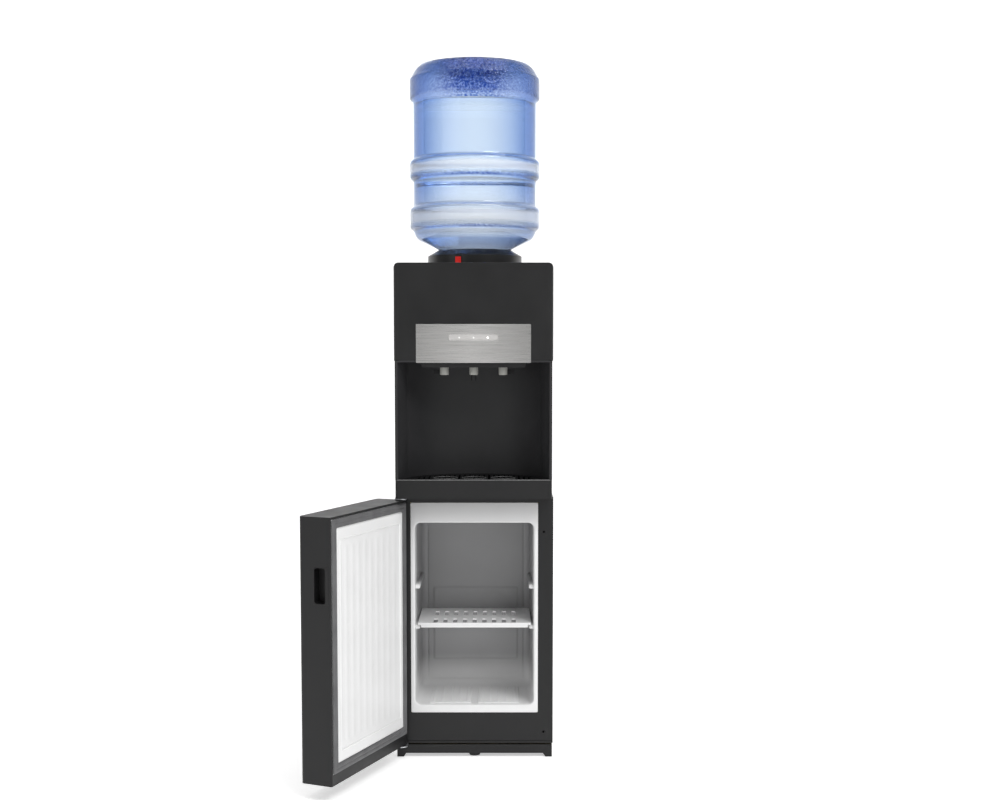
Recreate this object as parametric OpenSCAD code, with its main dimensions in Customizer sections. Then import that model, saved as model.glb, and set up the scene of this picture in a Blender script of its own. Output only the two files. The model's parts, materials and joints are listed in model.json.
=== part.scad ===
// Floor-standing water dispenser: an inverted bottle on top, three taps over a drip tray, and a
// small fridge behind a hinged door below. Millimetres, +Z up, +Y to the back. The origin is on
// the floor, at the middle of the centre front foot.

/* [Body] */
// Width of the body beside the taps
body_w = 310; // [250:1:380]
// Depth from the front face to the back of the condenser
depth = 360; // [350:1:450]
// How far the fridge cabinet stands out past the body on each side
cabinet_over = 5; // [3:0.5:10]
// How far the front face stands ahead of the fridge frame
door_reach = 63; // [58:1:80]
// How far the centre front foot stands behind the fridge frame
foot_in = 17; // [15:1:22]
// Height of the feet
foot_h = 7.5; // [6:0.5:12]
// Height of the plinth
plinth_h = 18; // [15:0.5:30]
// Height of the fridge frame
cabinet_h = 503; // [460:1:620]
// Height of the deck between the fridge and the tap bay
deck_h = 6.5; // [5:0.5:10]
// Height of the drip tray block
tray_h = 38.2; // [34:0.1:50]
// Height of the tap bay
alcove_h = 234.5; // [215:0.5:300]
// Height of the front housing over the tap bay
housing_h = 192.5; // [170:0.5:240]
// Wall of the plastic covers
wall = 2.5; // [2:0.1:3]
// Wall of the front housing
housing_wall = 2.2; // [1.8:0.1:3]
// Thickness of the steel sheets
sheet = 1.2; // [0.8:0.1:1.6]
// Gap between pieces that are fixed beside each other
gap = 0.2; // [0.1:0.05:0.4]
// Clearance around pieces that move
clear = 0.4; // [0.3:0.05:0.8]

/* [Fridge] */
// Width of the frame posts
post_w = 30.5; // [26:0.5:40]
// Height of the opening's bottom edge above the frame's bottom edge
sill_h = 63; // [55:1:80]
// Height of the frame above its opening
lintel_h = 8; // [6:0.5:16]
// Depth of the front frame
frame_t = 12; // [10:0.5:18]
// Width of the white flange at the sides and bottom of the cavity
flange_w = 8.5; // [7:0.5:12]
// Height of the white flange above the cavity
flange_top_w = 41; // [30:1:60]
// Height of the white flange below the cavity
flange_low_w = 16; // [10:1:30]
// Radius of the cavity's corners
cavity_r = 12; // [8:1:20]
// How much the cavity narrows on each side towards its back
draft = 5; // [3:0.5:7]
// Wall of the liner
liner_t = 1.5; // [1.2:0.1:2]
// Depth of the bay that holds the compressor
bay_d = 100; // [98:1:120]
// Height of the compressor bay
bay_h = 212; // [190:1:240]
// Foam behind the cavity at the compressor bay
foam_low = 13.5; // [10:0.5:20]
// Extra foam behind the cavity above the compressor bay
foam_step = 15; // [8:1:25]
// Height of the shelf above the cavity floor
shelf_z = 168.2; // [150:1:200]
// Height of the shelf's front lip
shelf_lip = 9.6; // [8:0.2:14]
// Height of the second pair of rails above the first
rail_pitch = 83; // [60:1:100]
// Number of slots in each row of the shelf
shelf_slots = 9; // [5:1:10]
// Pitch of the shelf slots
shelf_pitch = 20; // [16:0.5:22]

/* [Door] */
// How far the door stands open, in degrees
door_open = 113.1; // [0:0.1:115]
// How far the door's face stands ahead of the front face
door_proud = 7; // [0:0.5:12]
// Gap from the door to the cabinet's sides
door_in = 6; // [4:0.5:8]
// Gap between the door's inner face and the frame
door_gap = 4; // [3.5:0.5:6]
// Thickness of the gasket
gasket_t = 3; // [2:0.25:3]
// Width of the gasket
gasket_w = 16.5; // [12:0.5:20]
// Distance of the gasket from the door's sides
gasket_in = 5; // [4:0.5:8]
// Height of the plain band below the door's gasket
door_band = 22; // [16:1:40]
// Radius of the door's front edges
door_r = 7; // [4:0.5:12]
// Radius of the hinge pins
pin_r = 3; // [2.5:0.1:3.5]
// Distance of the hinge pins from the door's side
pin_in = 6; // [5.5:0.5:8]
// Distance of the hinge pins from the door's inner face
pin_deep = 10; // [9:0.5:14]
// Height of the grip pocket
grip_h = 66; // [50:1:90]
// Height of the grip pocket's bottom above the door's bottom
grip_z = 340; // [150:1:380]
// Width of the grip pocket
grip_w = 23; // [16:0.5:25]
// Depth of the grip pocket
grip_d = 20; // [14:0.5:28]

/* [Tap bay] */
// Depth of the bay at its middle
alcove_d = 134; // [110:1:140]
// Depth at which the bay's sides turn into its round back
knee_d = 52; // [40:1:60]
// How far the bay narrows to each side of that knee
knee_in = 17; // [10:1:24]
// Width of the front edges beside the bay
cheek_w = 5; // [4:0.5:9]
// Distance between the taps
tap_pitch = 58; // [50:0.5:66]
// Distance of the taps behind the front face
tap_in = 20; // [18:0.5:26]
// Outer diameter of a spout
spout_d = 17.4; // [14:0.2:20]
// Bore of a spout
spout_bore = 11; // [8:0.5:12]
// How far the spouts hang below the nozzle bar
spout_drop = 15.2; // [12:0.2:24]
// Half width of the nozzle bar
bar_half = 104; // [100:1:110]
// Height of the nozzle bar
bar_h = 10.2; // [9:0.2:14]
// Width of the drip tray's rim around the grille
tray_rim = 3; // [2.5:0.5:6]
// Depth of the drip tray
tray_d = 27.5; // [22:0.5:30]

/* [Front panel] */
// Half width of the steel panel
panel_half = 113; // [104:1:120]
// Height of the steel panel above the housing's bottom edge
panel_h = 72.2; // [66:0.2:90]
// How far the steel panel hangs below the housing
panel_drop = 3.5; // [2:0.5:6]
// Half width of the indicator slot
slot_half = 49; // [40:1:60]
// Height of the indicator slot
slot_h = 12; // [9:0.5:16]

/* [Bottle and collar] */
// Distance of the bottle's axis behind the front face
bottle_in = 170; // [165:1:200]
// Radius of the collar
collar_r = 97; // [90:1:104]
// Radius of the collar's rim under the bottle
rim_r = 76; // [70:1:80]
// Height of the collar
collar_h = 33.5; // [30:0.5:40]
// Inner radius of the collar's throat
throat_r = 34; // [32:0.5:38]
// Height of the bottle above the collar's rim
bottle_h = 372.5; // [300:0.5:420]
// Radius of the bottle's barrel
bottle_r = 126; // [110:0.5:130]
// How far the bottle's hoops stand out
hoop_out = 7.5; // [4:0.5:9]
// Wall of the bottle
bottle_t = 1.5; // [1:0.1:2]
// Height of the air above the water, below the bottle's top
air_h = 77; // [20:1:200]

/* [Hidden] */
$fn = 64;
eps = 0.01;
over = 1;

black_c = [0.17, 0.17, 0.17];
grey_c = [0.62, 0.62, 0.6];
steel_c = [0.72, 0.71, 0.69];
zinc_c = [0.6, 0.61, 0.62];
white_c = [0.93, 0.93, 0.93];
gasket_c = [0.45, 0.45, 0.45];
foam_c = [0.9, 0.84, 0.62];
copper_c = [0.72, 0.42, 0.26];
water_c = [0.7, 0.85, 1, 0.4];
bottle_c = [0.45, 0.62, 0.95, 0.5];

// Planes from front to back
frame_y = -foot_in;
front_y = frame_y - door_reach;
back_y = front_y + depth;
frame_back = frame_y + frame_t;
condenser_t = 12.8;
sheet_y = back_y - condenser_t - sheet;
sheet_back = sheet_y + sheet;
cavity_back = sheet_y - bay_d - foam_low - liner_t;
foam_back = cavity_back + liner_t + foam_low;
plinth_d = 30;
plinth_back = frame_y + plinth_d;
bottle_y = front_y + bottle_in;

// Heights from bottom to top
hinge_t = 2.5;
hinge_lift = 1;
plinth_top = foot_h + plinth_h;
frame_z = plinth_top + hinge_t + hinge_lift;
cab_top = frame_z + cabinet_h;
tray_z = cab_top + deck_h;
tray_top = tray_z + tray_h;
housing_z = tray_top + alcove_h;
body_top = housing_z + housing_h;
rim_z = body_top + collar_h;
bottle_top = rim_z + bottle_h;

// Widths
body_half = body_w / 2;
cab_half = body_half + cabinet_over;
open_half = cab_half - post_w;
open_z = frame_z + sill_h;
open_top = cab_top - lintel_h;
cavity_half = open_half - flange_w;
cavity_z = open_z + flange_low_w;
cavity_top = open_top - flange_top_w;
alcove_half = body_half - cheek_w;
shell_half = body_half + gap / 2 + housing_wall;

// ---------------------------------------------------------------- shared shapes

// Box between its lowest and highest corners
module block(lo, hi) translate(lo) cube(hi - lo);

// The same piece again on the other side of the centre plane
module both_sides() {
    children();
    mirror([1, 0, 0]) children();
}

// Rectangle about the origin with true round corners
module round_rect(w, h, r) {
    square([w - 2 * r, h], center = true);
    square([w, h - 2 * r], center = true);
    for (x = [-1, 1], y = [-1, 1])
        translate([x * (w / 2 - r), y * (h / 2 - r)]) circle(r);
}

// Upright plate that faces the front: thickness t behind y, round corners
module face_plate(half, z0, z1, y, t, r) {
    translate([0, y + t, (z0 + z1) / 2]) rotate([90, 0, 0])
        linear_extrude(t) round_rect(2 * half, z1 - z0, r);
}

// Straight rod between two points
module rod(p, q, r) {
    v = q - p;
    translate(p) rotate([0, acos(v.z / norm(v)), atan2(v.y, v.x)]) cylinder(r = r, h = norm(v));
}

// Pipe through a list of points, with a round elbow at each turn
module pipe(points, r) {
    elbow = 1.2;
    for (i = [0 : len(points) - 2]) rod(points[i], points[i + 1], r);
    for (i = [1 : 1 : len(points) - 2]) translate(points[i]) sphere(r * elbow, $fn = 24);
}

// Horizontal cylinder that starts at y and runs back
module bore_y(x, z, y, r, l) translate([x, y, z]) rotate([-90, 0, 0]) cylinder(r = r, h = l);

// ---------------------------------------------------------------- base

// Plinth: a channel open to the back, with a trapezoid foot at each end
plinth_half = cab_half - 1.5;
corner_foot_w = 18.5;
corner_foot_taper = 5;
stud_r = 3;
stud_h = 12;
boss_wall = 4;
module plinth() color(black_c) {
    difference() {
        union() {
            difference() {
                block([-plinth_half, frame_y, foot_h], [plinth_half, plinth_back, plinth_top]);
                block([-plinth_half + wall, frame_y + wall, foot_h + wall],
                    [plinth_half - wall, plinth_back + over, plinth_top - wall]);
            }
            translate([0, 0, foot_h]) cylinder(r = stud_r + boss_wall, h = plinth_h);
            both_sides() translate([0, plinth_back, 0]) rotate([90, 0, 0])
                linear_extrude(plinth_back - frame_y)
                    polygon([[plinth_half - corner_foot_w, foot_h], [plinth_half, foot_h],
                        [plinth_half, 0], [plinth_half - corner_foot_w + corner_foot_taper, 0]]);
        }
        translate([0, 0, foot_h - over]) cylinder(r = stud_r + gap, h = stud_h + over + gap);
    }
}

// Centre front foot: a round pad with a stud up into the plinth
foot_r = 12;
foot_taper = 1;
module centre_foot() color(black_c) {
    cylinder(r1 = foot_r - foot_taper, r2 = foot_r, h = foot_h);
    translate([0, 0, foot_h - eps]) cylinder(r = stud_r, h = stud_h + eps);
}

// Base pan: a shallow steel tray that carries the foam and the compressor
pan_t = 1.5;
pan_half = cab_half - sheet - 2;
rear_foot_in = 30;
rear_foot_ahead = 25;
rear_foot_x = cab_half - rear_foot_in;
rear_foot_y = sheet_y - rear_foot_ahead;
module base_pan() color(zinc_c) {
    difference() {
        block([-pan_half, plinth_back, foot_h], [pan_half, sheet_y, plinth_top]);
        block([-pan_half + pan_t, plinth_back + pan_t, foot_h + pan_t],
            [pan_half - pan_t, sheet_y - pan_t, plinth_top + over]);
        both_sides() translate([rear_foot_x, rear_foot_y, foot_h - over])
            cylinder(r = stud_r + gap, h = pan_t + 2 * over);
    }
}

// Rear feet: two pads with studs through the base pan
rear_stud_h = 8;
module rear_feet() color(black_c) {
    both_sides() translate([rear_foot_x, rear_foot_y, 0]) {
        cylinder(r1 = foot_r, r2 = foot_r + foot_taper, h = foot_h);
        translate([0, 0, foot_h - eps]) cylinder(r = stud_r, h = rear_stud_h);
    }
}

// ---------------------------------------------------------------- fridge cabinet

// Side sheet with a return at its back edge for the screws
return_w = 14;
module lower_panel() difference() {
    union() {
        block([cab_half - sheet, frame_back, plinth_top], [cab_half, sheet_y, cab_top]);
        block([cab_half - return_w, sheet_y - sheet, plinth_top], [cab_half, sheet_y, cab_top]);
    }
    screw_bores();
}
module left_lower_panel() color(black_c) mirror([1, 0, 0]) lower_panel();
module right_lower_panel() color(black_c) lower_panel();

// Front frame around the opening, with plain screw holes for hanging the door on the other side
ledge_h = 4;
ledge_out = 1.5;
spare_x = cab_half - 19;
spare_low = 23;
spare_high = 67.4;
spare_r = 2.4;
spare_d = 9;
module fridge_frame() color(black_c) {
    difference() {
        union() {
            block([-cab_half, frame_y, frame_z], [cab_half, frame_back, cab_top]);
            block([-cab_half, frame_y - ledge_out, frame_z], [cab_half, frame_y, frame_z + ledge_h]);
        }
        block([-open_half, frame_y - over, open_z], [open_half, frame_back + over, open_top]);
        for (z = [frame_z + spare_low, cab_top - spare_high])
            bore_y(spare_x, z, frame_y - over, spare_r, spare_d + over);
    }
}

// Solid of the fridge cavity grown by g: it narrows towards the back, with a level floor
module cavity(g, front, back) {
    hull() {
        face_plate(cavity_half + g, cavity_z - g, cavity_top + g, front, eps, cavity_r, $fn = 32);
        face_plate(cavity_half - draft + g, cavity_z - g, cavity_top - draft + g, back, eps,
            cavity_r, $fn = 32);
    }
}

// Liner: flange in the frame's opening, moulded cavity, two pairs of rails and two floor pads
rail_proud = 10;
rail_h = 9;
rail_front = frame_y + 14;
shelf_top = cavity_z + shelf_z;
shelf_rim = 4.5;
flange_t = 2;
pad_in = 6;
pad_side = 29;
pad_h = 2.5;
rib_h = 1;
rib_w = 3;
pad_ribs = 5;
module liner_rail(top) {
    intersection() {
        both_sides() block([cavity_half - rail_proud, rail_front, top - rail_h],
            [cavity_half + over, cavity_back + over, top]);
        cavity(liner_t / 2, frame_y, cavity_back + liner_t / 2);
    }
}
module floor_pad() {
    pad_w = cavity_half - pad_side - pad_in;
    pad_front = frame_y + 12;
    pad_back = cavity_back - 25;
    block([pad_in, pad_front, cavity_z - eps], [pad_in + pad_w, pad_back, cavity_z + pad_h]);
    for (i = [0 : pad_ribs - 1])
        block([pad_in + (i + 0.5) * pad_w / pad_ribs - rib_w / 2, pad_front + rib_w, cavity_z],
            [pad_in + (i + 0.5) * pad_w / pad_ribs + rib_w / 2, pad_back - rib_w,
                cavity_z + pad_h + rib_h]);
}
module fridge_liner() color(white_c) {
    difference() {
        union() {
            face_plate(open_half - gap, open_z + gap, open_top - gap, frame_y, flange_t, 3);
            cavity(liner_t, frame_y, cavity_back + liner_t);
        }
        cavity(0, frame_y - over, cavity_back);
    }
    liner_rail(shelf_top - shelf_rim - clear);
    liner_rail(shelf_top - shelf_rim - clear + rail_pitch);
    both_sides() floor_pad();
}

// Foam between the liner and the cabinet, stepped forward at its foot for the compressor bay
foam_half = cab_half - sheet - 0.1;
module fridge_foam() color(foam_c) {
    difference() {
        union() {
            block([-foam_half, frame_back, plinth_top],
                [foam_half, foam_back + foam_step, cab_top]);
            block([-open_half + gap, frame_y + flange_t, open_z + gap],
                [open_half - gap, frame_back + eps, open_top - gap]);
        }
        cavity(liner_t + gap, frame_y, cavity_back + liner_t + gap);
        block([-foam_half - over, foam_back, plinth_top - over],
            [foam_half + over, foam_back + foam_step + over, plinth_top + bay_h]);
    }
}

// Shelf: a slotted tray on the lower rails that slides out to the front
shelf_half = cavity_half - 6;
shelf_front = frame_y + 7;
shelf_back = cavity_back - 3;
shelf_t = 2.2;
slot_w = 9;
slot_l = 40;
slot_r = 2;
slot_ahead = 16;
row_gap = 39;
module fridge_shelf() color(white_c) {
    row_pitch = slot_l + row_gap;
    shelf_mid = (shelf_front + shelf_back) / 2 - slot_ahead;
    difference() {
        union() {
            block([-shelf_half, shelf_front, shelf_top - shelf_rim],
                [shelf_half, shelf_back, shelf_top]);
            block([-shelf_half, shelf_front, shelf_top - shelf_lip],
                [shelf_half, shelf_front + shelf_t, shelf_top]);
        }
        block([-shelf_half + shelf_t, shelf_front + shelf_t, shelf_top - shelf_rim - over],
            [shelf_half - shelf_t, shelf_back - shelf_t, shelf_top - shelf_t]);
        both_sides() block([cavity_half - rail_proud - 2, shelf_front - over,
                shelf_top - shelf_lip - over],
            [shelf_half + over, shelf_front + shelf_t + over, shelf_top - shelf_rim]);
        for (i = [0 : shelf_slots - 1], row = [0, 1])
            translate([(i - (shelf_slots - 1) / 2) * shelf_pitch, shelf_mid + (row - 0.5) * row_pitch,
                shelf_top - shelf_rim - over])
                linear_extrude(shelf_rim + 2 * over) round_rect(slot_w, slot_l, slot_r);
    }
}

// Deck plate between the fridge and the tap bay, with a pocket over the hinge leaf
module deck_plate() color(black_c) {
    difference() {
        union() {
            block([-cab_half, frame_y, cab_top], [cab_half, sheet_y, cab_top + hinge_t + gap]);
            block([-body_half, frame_y, cab_top + hinge_t], [body_half, sheet_y, tray_z]);
        }
        block([-cab_half - over, frame_y - over, cab_top - over],
            [leaf_x + leaf_w + gap, leaf_back + gap, cab_top + hinge_t + gap]);
    }
}

// Back panel over the bay, with vent slots at its top, holes for the switches and drains, and a
// ring where the mains cord comes out
back_half = body_half - 1;
back_z = plinth_top + bay_h + 22;
vent_rows = 7;
vent_pitch = 9;
vent_w = 84;
vent_h = 4;
vent_x = 72;
vent_z = body_top - 78;
module back_panel() color(black_c) {
    difference() {
        union() {
            block([-back_half, sheet_y, back_z], [back_half, sheet_back, body_top - top_skirt]);
            bore_y(outlet_x, outlet_z, sheet_back - eps, outlet_r + outlet_wall, outlet_l + eps);
        }
        for (i = [0 : vent_rows - 1])
            face_plate_at(vent_x, vent_z + i * vent_pitch, vent_w, vent_h, vent_h / 2 - eps);
        face_plate_at(-switch_x, switch_z, bezel_w - 2 * bezel_lip, bezel_h - 2 * bezel_lip, 1);
        for (z = drain_z) bore_y(drain_x, z, sheet_y - over, drain_r + gap, sheet + 2 * over);
        bore_y(outlet_x, outlet_z, sheet_y - over, outlet_r, sheet + outlet_l + 2 * over);
        screw_bores();
    }
}
// Hole through the back panel
module face_plate_at(x, z, w, h, r) {
    translate([x, 0, 0]) face_plate(w / 2, z - h / 2, z + h / 2, sheet_y - over,
        sheet + 2 * over, r);
}

// ---------------------------------------------------------------- cooling

// Compressor: a domed can on a base plate with four short legs
comp_r = 46;
comp_h = 132;
comp_x = 48;
comp_y = sheet_y - 50;
comp_leg_h = 12;
comp_leg_r = 7;
comp_leg_x = comp_r + 8;
comp_leg_y = 26;
comp_plate_x = comp_r + 20;
comp_plate_y = 38;
comp_plate_r = 10;
comp_plate_t = 2.5;
comp_shoulder = 16;
comp_dome = 6;
comp_seam = 2;
comp_seam_z = 0.55 * comp_h;
comp_seam_h = 6.6;
module compressor() color([0.1, 0.1, 0.1]) {
    z0 = foot_h + pan_t;
    z1 = z0 + comp_leg_h;
    translate([comp_x, comp_y, 0]) {
        translate([0, 0, z1]) linear_extrude(comp_plate_t)
            round_rect(2 * comp_plate_x, 2 * comp_plate_y, comp_plate_r);
        for (x = [-1, 1], y = [-1, 1])
            translate([x * comp_leg_x, y * comp_leg_y, z0]) cylinder(r = comp_leg_r, h = comp_leg_h);
        translate([0, 0, z1 + comp_plate_t]) rotate_extrude()
            polygon([[0, 0], [comp_r - comp_shoulder, 0], [comp_r, comp_shoulder / 2],
                [comp_r, comp_seam_z], [comp_r + comp_seam, comp_seam_z],
                [comp_r + comp_seam, comp_seam_z + comp_seam_h], [comp_r, comp_seam_z + comp_seam_h],
                [comp_r, comp_h - comp_shoulder], [comp_r - comp_shoulder / 3, comp_h - comp_dome],
                [comp_r - comp_shoulder, comp_h - 1], [0, comp_h]]);
    }
}

// Condenser: one tube that winds up the back, with upright wires behind it
tube_r = 2.4;
wire_r = 0.8;
cond_half = 112;
cond_z = back_z + 40;
cond_top = body_top - 120;
cond_runs = 12;
cond_wires = 21;
cond_y = sheet_back + 7;
wire_gap = 0.05;
wire_y = cond_y + tube_r + wire_r + wire_gap;
wire_in = 6;
wire_end = 8;
cond_step = (cond_top - cond_z) / (cond_runs - 1);
bracket_r = 1.6;
bracket_in = 20;
module condenser() color([0.12, 0.12, 0.12]) {
    run_half = cond_half - cond_step / 2;
    for (i = [0 : cond_runs - 1])
        rod([-run_half, cond_y, cond_z + i * cond_step], [run_half, cond_y, cond_z + i * cond_step],
            tube_r);
    for (i = [0 : cond_runs - 2])
        translate([(i % 2 == 0 ? 1 : -1) * run_half, cond_y, cond_z + (i + 0.5) * cond_step])
            rotate([90, 0, 0]) rotate([0, 0, i % 2 == 0 ? -90 : 90])
                rotate_extrude(angle = 180) translate([cond_step / 2, 0]) circle(tube_r);
    for (i = [0 : cond_wires - 1]) {
        x = (i / (cond_wires - 1) - 0.5) * 2 * (run_half - wire_in);
        rod([x, wire_y, cond_z - wire_end], [x, wire_y, cond_top + wire_end], wire_r);
    }
    for (s = [-1, 1], i = [1, cond_runs - 2])
        bore_y(s * (run_half - bracket_in), cond_z + i * cond_step, sheet_back, bracket_r,
            cond_y - sheet_back);
}

// Refrigerant lines: from the compressor up through the bay's open back to the condenser, and
// from the condenser's foot back to the foam
line_h = 99;
line_out = 22;
line_drop = 30;
module refrigerant_lines() color(copper_c) {
    line_z = foot_h + pan_t + comp_leg_h + line_h;
    line_x = comp_x - comp_r - line_out;
    line_top = plinth_top + bay_h - line_drop;
    pipe_r = tube_r;
    run_half = cond_half - cond_step / 2;
    pipe([[comp_x - comp_r, comp_y, line_z], [line_x, comp_y, line_z],
        [line_x, comp_y, line_top], [line_x, foam_back, line_top]], pipe_r);
    pipe([[comp_x, comp_y + comp_r, line_z], [comp_x, cond_y, line_z],
        [-run_half, cond_y, line_z], [-run_half, cond_y, cond_z - tube_r]], pipe_r);
}

// ---------------------------------------------------------------- door

door_half = cab_half - door_in;
door_z = frame_z + 2;
door_top = cab_top - 1;
door_inner = frame_y - door_gap;
pin_x = -door_half + pin_in;
pin_y = door_inner - pin_deep;
door_back_r = 3;
door_wall = 2.5;
pin_l = 11;
bush_r = 5;

// Turns a piece of the closed door to where the door stands open
module door_pose() {
    translate([pin_x, pin_y, 0]) rotate([0, 0, -door_open]) translate([-pin_x, -pin_y, 0])
        children();
}

// Plan of the door, drawn in by g, with round edges front and back
module door_plan(g) {
    y0 = front_y - door_proud + g;
    y1 = door_inner - g;
    half = door_half - g;
    fr = door_r - g;
    br = max(door_back_r - g, 0.4);
    for (s = [-1, 1]) {
        translate([s * (half - fr), y0 + fr]) circle(fr);
        translate([s * (half - br), y1 - br]) circle(br);
    }
    translate([-half + fr, y0]) square([2 * (half - fr), y1 - y0 - br]);
    translate([-half + br, y0 + fr]) square([2 * (half - br), y1 - y0 - fr]);
    translate([-half, y0 + fr]) square([2 * half, y1 - y0 - fr - br]);
}

// Holes for the hinge pins in the top and the bottom of the door
module pin_bores(r, l) {
    translate([pin_x, pin_y, door_top - l]) cylinder(r = r, h = l + over);
    translate([pin_x, pin_y, door_z - over]) cylinder(r = r, h = l + over);
}

// Block of the grip insert on the free side, grown by g: a wall around the pocket, wider on the
// side of the inner face
grip_t = 1.5;
grip_lip = 7.5;
grip_r = 5;
grip_y1 = door_inner - door_wall - grip_lip - 1;
grip_y0 = grip_y1 - grip_w;
module grip_block(g) {
    block([door_half - grip_d - grip_t - g, grip_y0 - grip_t - g, door_z + grip_z - grip_t - g],
        [door_half + (g > 0 ? over : 0), grip_y1 + grip_lip + g,
            door_z + grip_z + grip_h + grip_t + g]);
}

// Outer shell of the door: front, sides, top and bottom in one moulding, open at its inner face
module door_shell() color(black_c) door_pose() {
    difference() {
        union() {
            difference() {
                translate([0, 0, door_z]) linear_extrude(door_top - door_z) door_plan(0);
                translate([0, 0, door_z + door_wall])
                    linear_extrude(door_top - door_z - 2 * door_wall) door_plan(door_wall);
                block([-door_half + gasket_in, door_inner - door_wall - over, door_z + door_band],
                    [door_half - gasket_in, door_inner + over, door_top - door_wall - 2]);
            }
            translate([pin_x, pin_y, door_top - pin_l - door_wall])
                cylinder(r = bush_r, h = pin_l + door_wall - eps);
            translate([pin_x, pin_y, door_z + eps]) cylinder(r = bush_r, h = pin_l + door_wall);
        }
        pin_bores(pin_r + clear, pin_l + clear);
        grip_block(0.05);
    }
}

// Inner liner of the door: a white sheet with a raised border and upright flutes
field_in = 11;
field_end = 22;
field_out = 2.5;
flute_n = 9;
flute_r = 3;
liner_side = gasket_in + gasket_w;
module door_liner() color(white_c) door_pose() {
    z0 = door_z + door_band;
    z1 = door_top - door_wall - 2;
    half = door_half - gasket_in - gap;
    border = door_half - liner_side - gap;
    low = z0 + gasket_w + gap;
    high = z1 - gasket_w - gap;
    flute_pitch = 2 * (border - field_in) / flute_n;
    difference() {
        union() {
            block([-half, door_inner - door_wall, z0 + gap], [half, door_inner, z1 - gap]);
            face_plate(border, low, high, door_inner - eps, field_out + eps, 4);
        }
        face_plate(border - field_in, low + field_end, high - field_end, door_inner + field_out / 3,
            field_out, 4);
        for (i = [0 : flute_n - 1])
            translate([(i - (flute_n - 1) / 2) * flute_pitch, door_inner + flute_r,
                low + field_end + 6])
                cylinder(r = flute_r, h = high - low - 2 * field_end - 12);
        translate([pin_x, pin_y, door_top - pin_l - door_wall - over])
            cylinder(r = bush_r + gap, h = pin_l + 2 * door_wall);
    }
}

// Gasket: a soft frame around the liner
module door_gasket() color(gasket_c) door_pose() {
    z0 = door_z + door_band + gap;
    z1 = door_top - door_wall - 2 - gap;
    half = door_half - gasket_in - gap;
    difference() {
        face_plate(half, z0, z1, door_inner, gasket_t, 2);
        face_plate(half - gasket_w, z0 + gasket_w, z1 - gasket_w, door_inner - over,
            gasket_t + 2 * over, 4);
    }
}

// Foam that fills the door between its shell and its liner
module door_foam() color(foam_c) door_pose() {
    difference() {
        translate([0, 0, door_z + door_wall + gap])
            linear_extrude(door_top - door_z - 2 * door_wall - 2 * gap) door_plan(door_wall + gap);
        block([-door_half, door_inner - door_wall - gap, door_z],
            [door_half, door_inner + over, door_top]);
        grip_block(gap);
        pin_bores(bush_r + gap, pin_l + door_wall + over);
    }
}

// Grip insert: a pocket moulded into the free edge of the door
module door_grip() color([0.1, 0.1, 0.1]) door_pose() {
    difference() {
        grip_block(0);
        translate([door_half - grip_d, (grip_y0 + grip_y1) / 2, door_z + grip_z + grip_h / 2])
            rotate([90, 0, 90]) linear_extrude(grip_d + over) round_rect(grip_w, grip_h, grip_r);
    }
}

// Hinge leaves: a flat arm that reaches forward to the pin
leaf_w = 24;
leaf_x = pin_x - leaf_w / 2;
leaf_back = frame_back - 0.5;
module hinge_leaf(z) {
    block([leaf_x, pin_y, z], [leaf_x + leaf_w, leaf_back, z + hinge_t]);
    translate([pin_x, pin_y, z]) cylinder(r = leaf_w / 2, h = hinge_t);
}
module top_hinge() color(zinc_c) {
    hinge_leaf(cab_top);
    translate([pin_x, pin_y, door_top - pin_l])
        cylinder(r = pin_r, h = cab_top - door_top + pin_l + eps);
}
module bottom_hinge() color(zinc_c) {
    hinge_leaf(plinth_top);
    translate([pin_x, pin_y, plinth_top + hinge_t - eps])
        cylinder(r = pin_r, h = door_z - plinth_top - hinge_t + pin_l);
}

// ---------------------------------------------------------------- tap bay

// Plan of the tap bay, drawn in by g from its walls and by f from the front: straight cheeks
// that narrow to the knee, then an arc through both knees and the middle of the back
knee_x = alcove_half - knee_in;
arc_rise = alcove_d - knee_d;
arc_r = (knee_x * knee_x + arc_rise * arc_rise) / (2 * arc_rise);
arc_y = front_y + alcove_d - arc_r;
module alcove_plan(g, f) {
    slope = knee_in / knee_d;
    knee_y = front_y + knee_d;
    intersection() {
        translate([0, arc_y]) circle(arc_r - g, $fn = 180);
        translate([-alcove_half * 2, knee_y]) square([alcove_half * 4, alcove_d]);
    }
    knee_g = sqrt(pow(arc_r - g, 2) - pow(knee_y - arc_y, 2));
    polygon([[-(knee_g + slope * (knee_d - f)), front_y + f], [knee_g + slope * (knee_d - f),
        front_y + f], [knee_g, knee_y + eps], [-knee_g, knee_y + eps]]);
}
module alcove_solid(g, f, z0, z1) translate([0, 0, z0]) linear_extrude(z1 - z0) alcove_plan(g, f);

// Tray block under the bay: it reaches out over the door and holds the drip tray
base_behind = 6;
base_back = front_y + alcove_d + base_behind;
base_floor = 2.5;
base_r = 4;
recess_in = 7;
recess_f = 9;
tray_floor_z = tray_top - tray_d;
module tray_base() color(black_c) {
    mid = (front_y + base_back) / 2;
    difference() {
        translate([0, mid, tray_z]) linear_extrude(tray_h)
            round_rect(2 * body_half, base_back - front_y, base_r);
        block([-body_half + wall, front_y + wall, tray_z - over],
            [body_half - wall, base_back - wall, tray_floor_z - gap - base_floor]);
        alcove_solid(recess_in, recess_f, tray_floor_z - gap, tray_top + over);
    }
}

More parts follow.
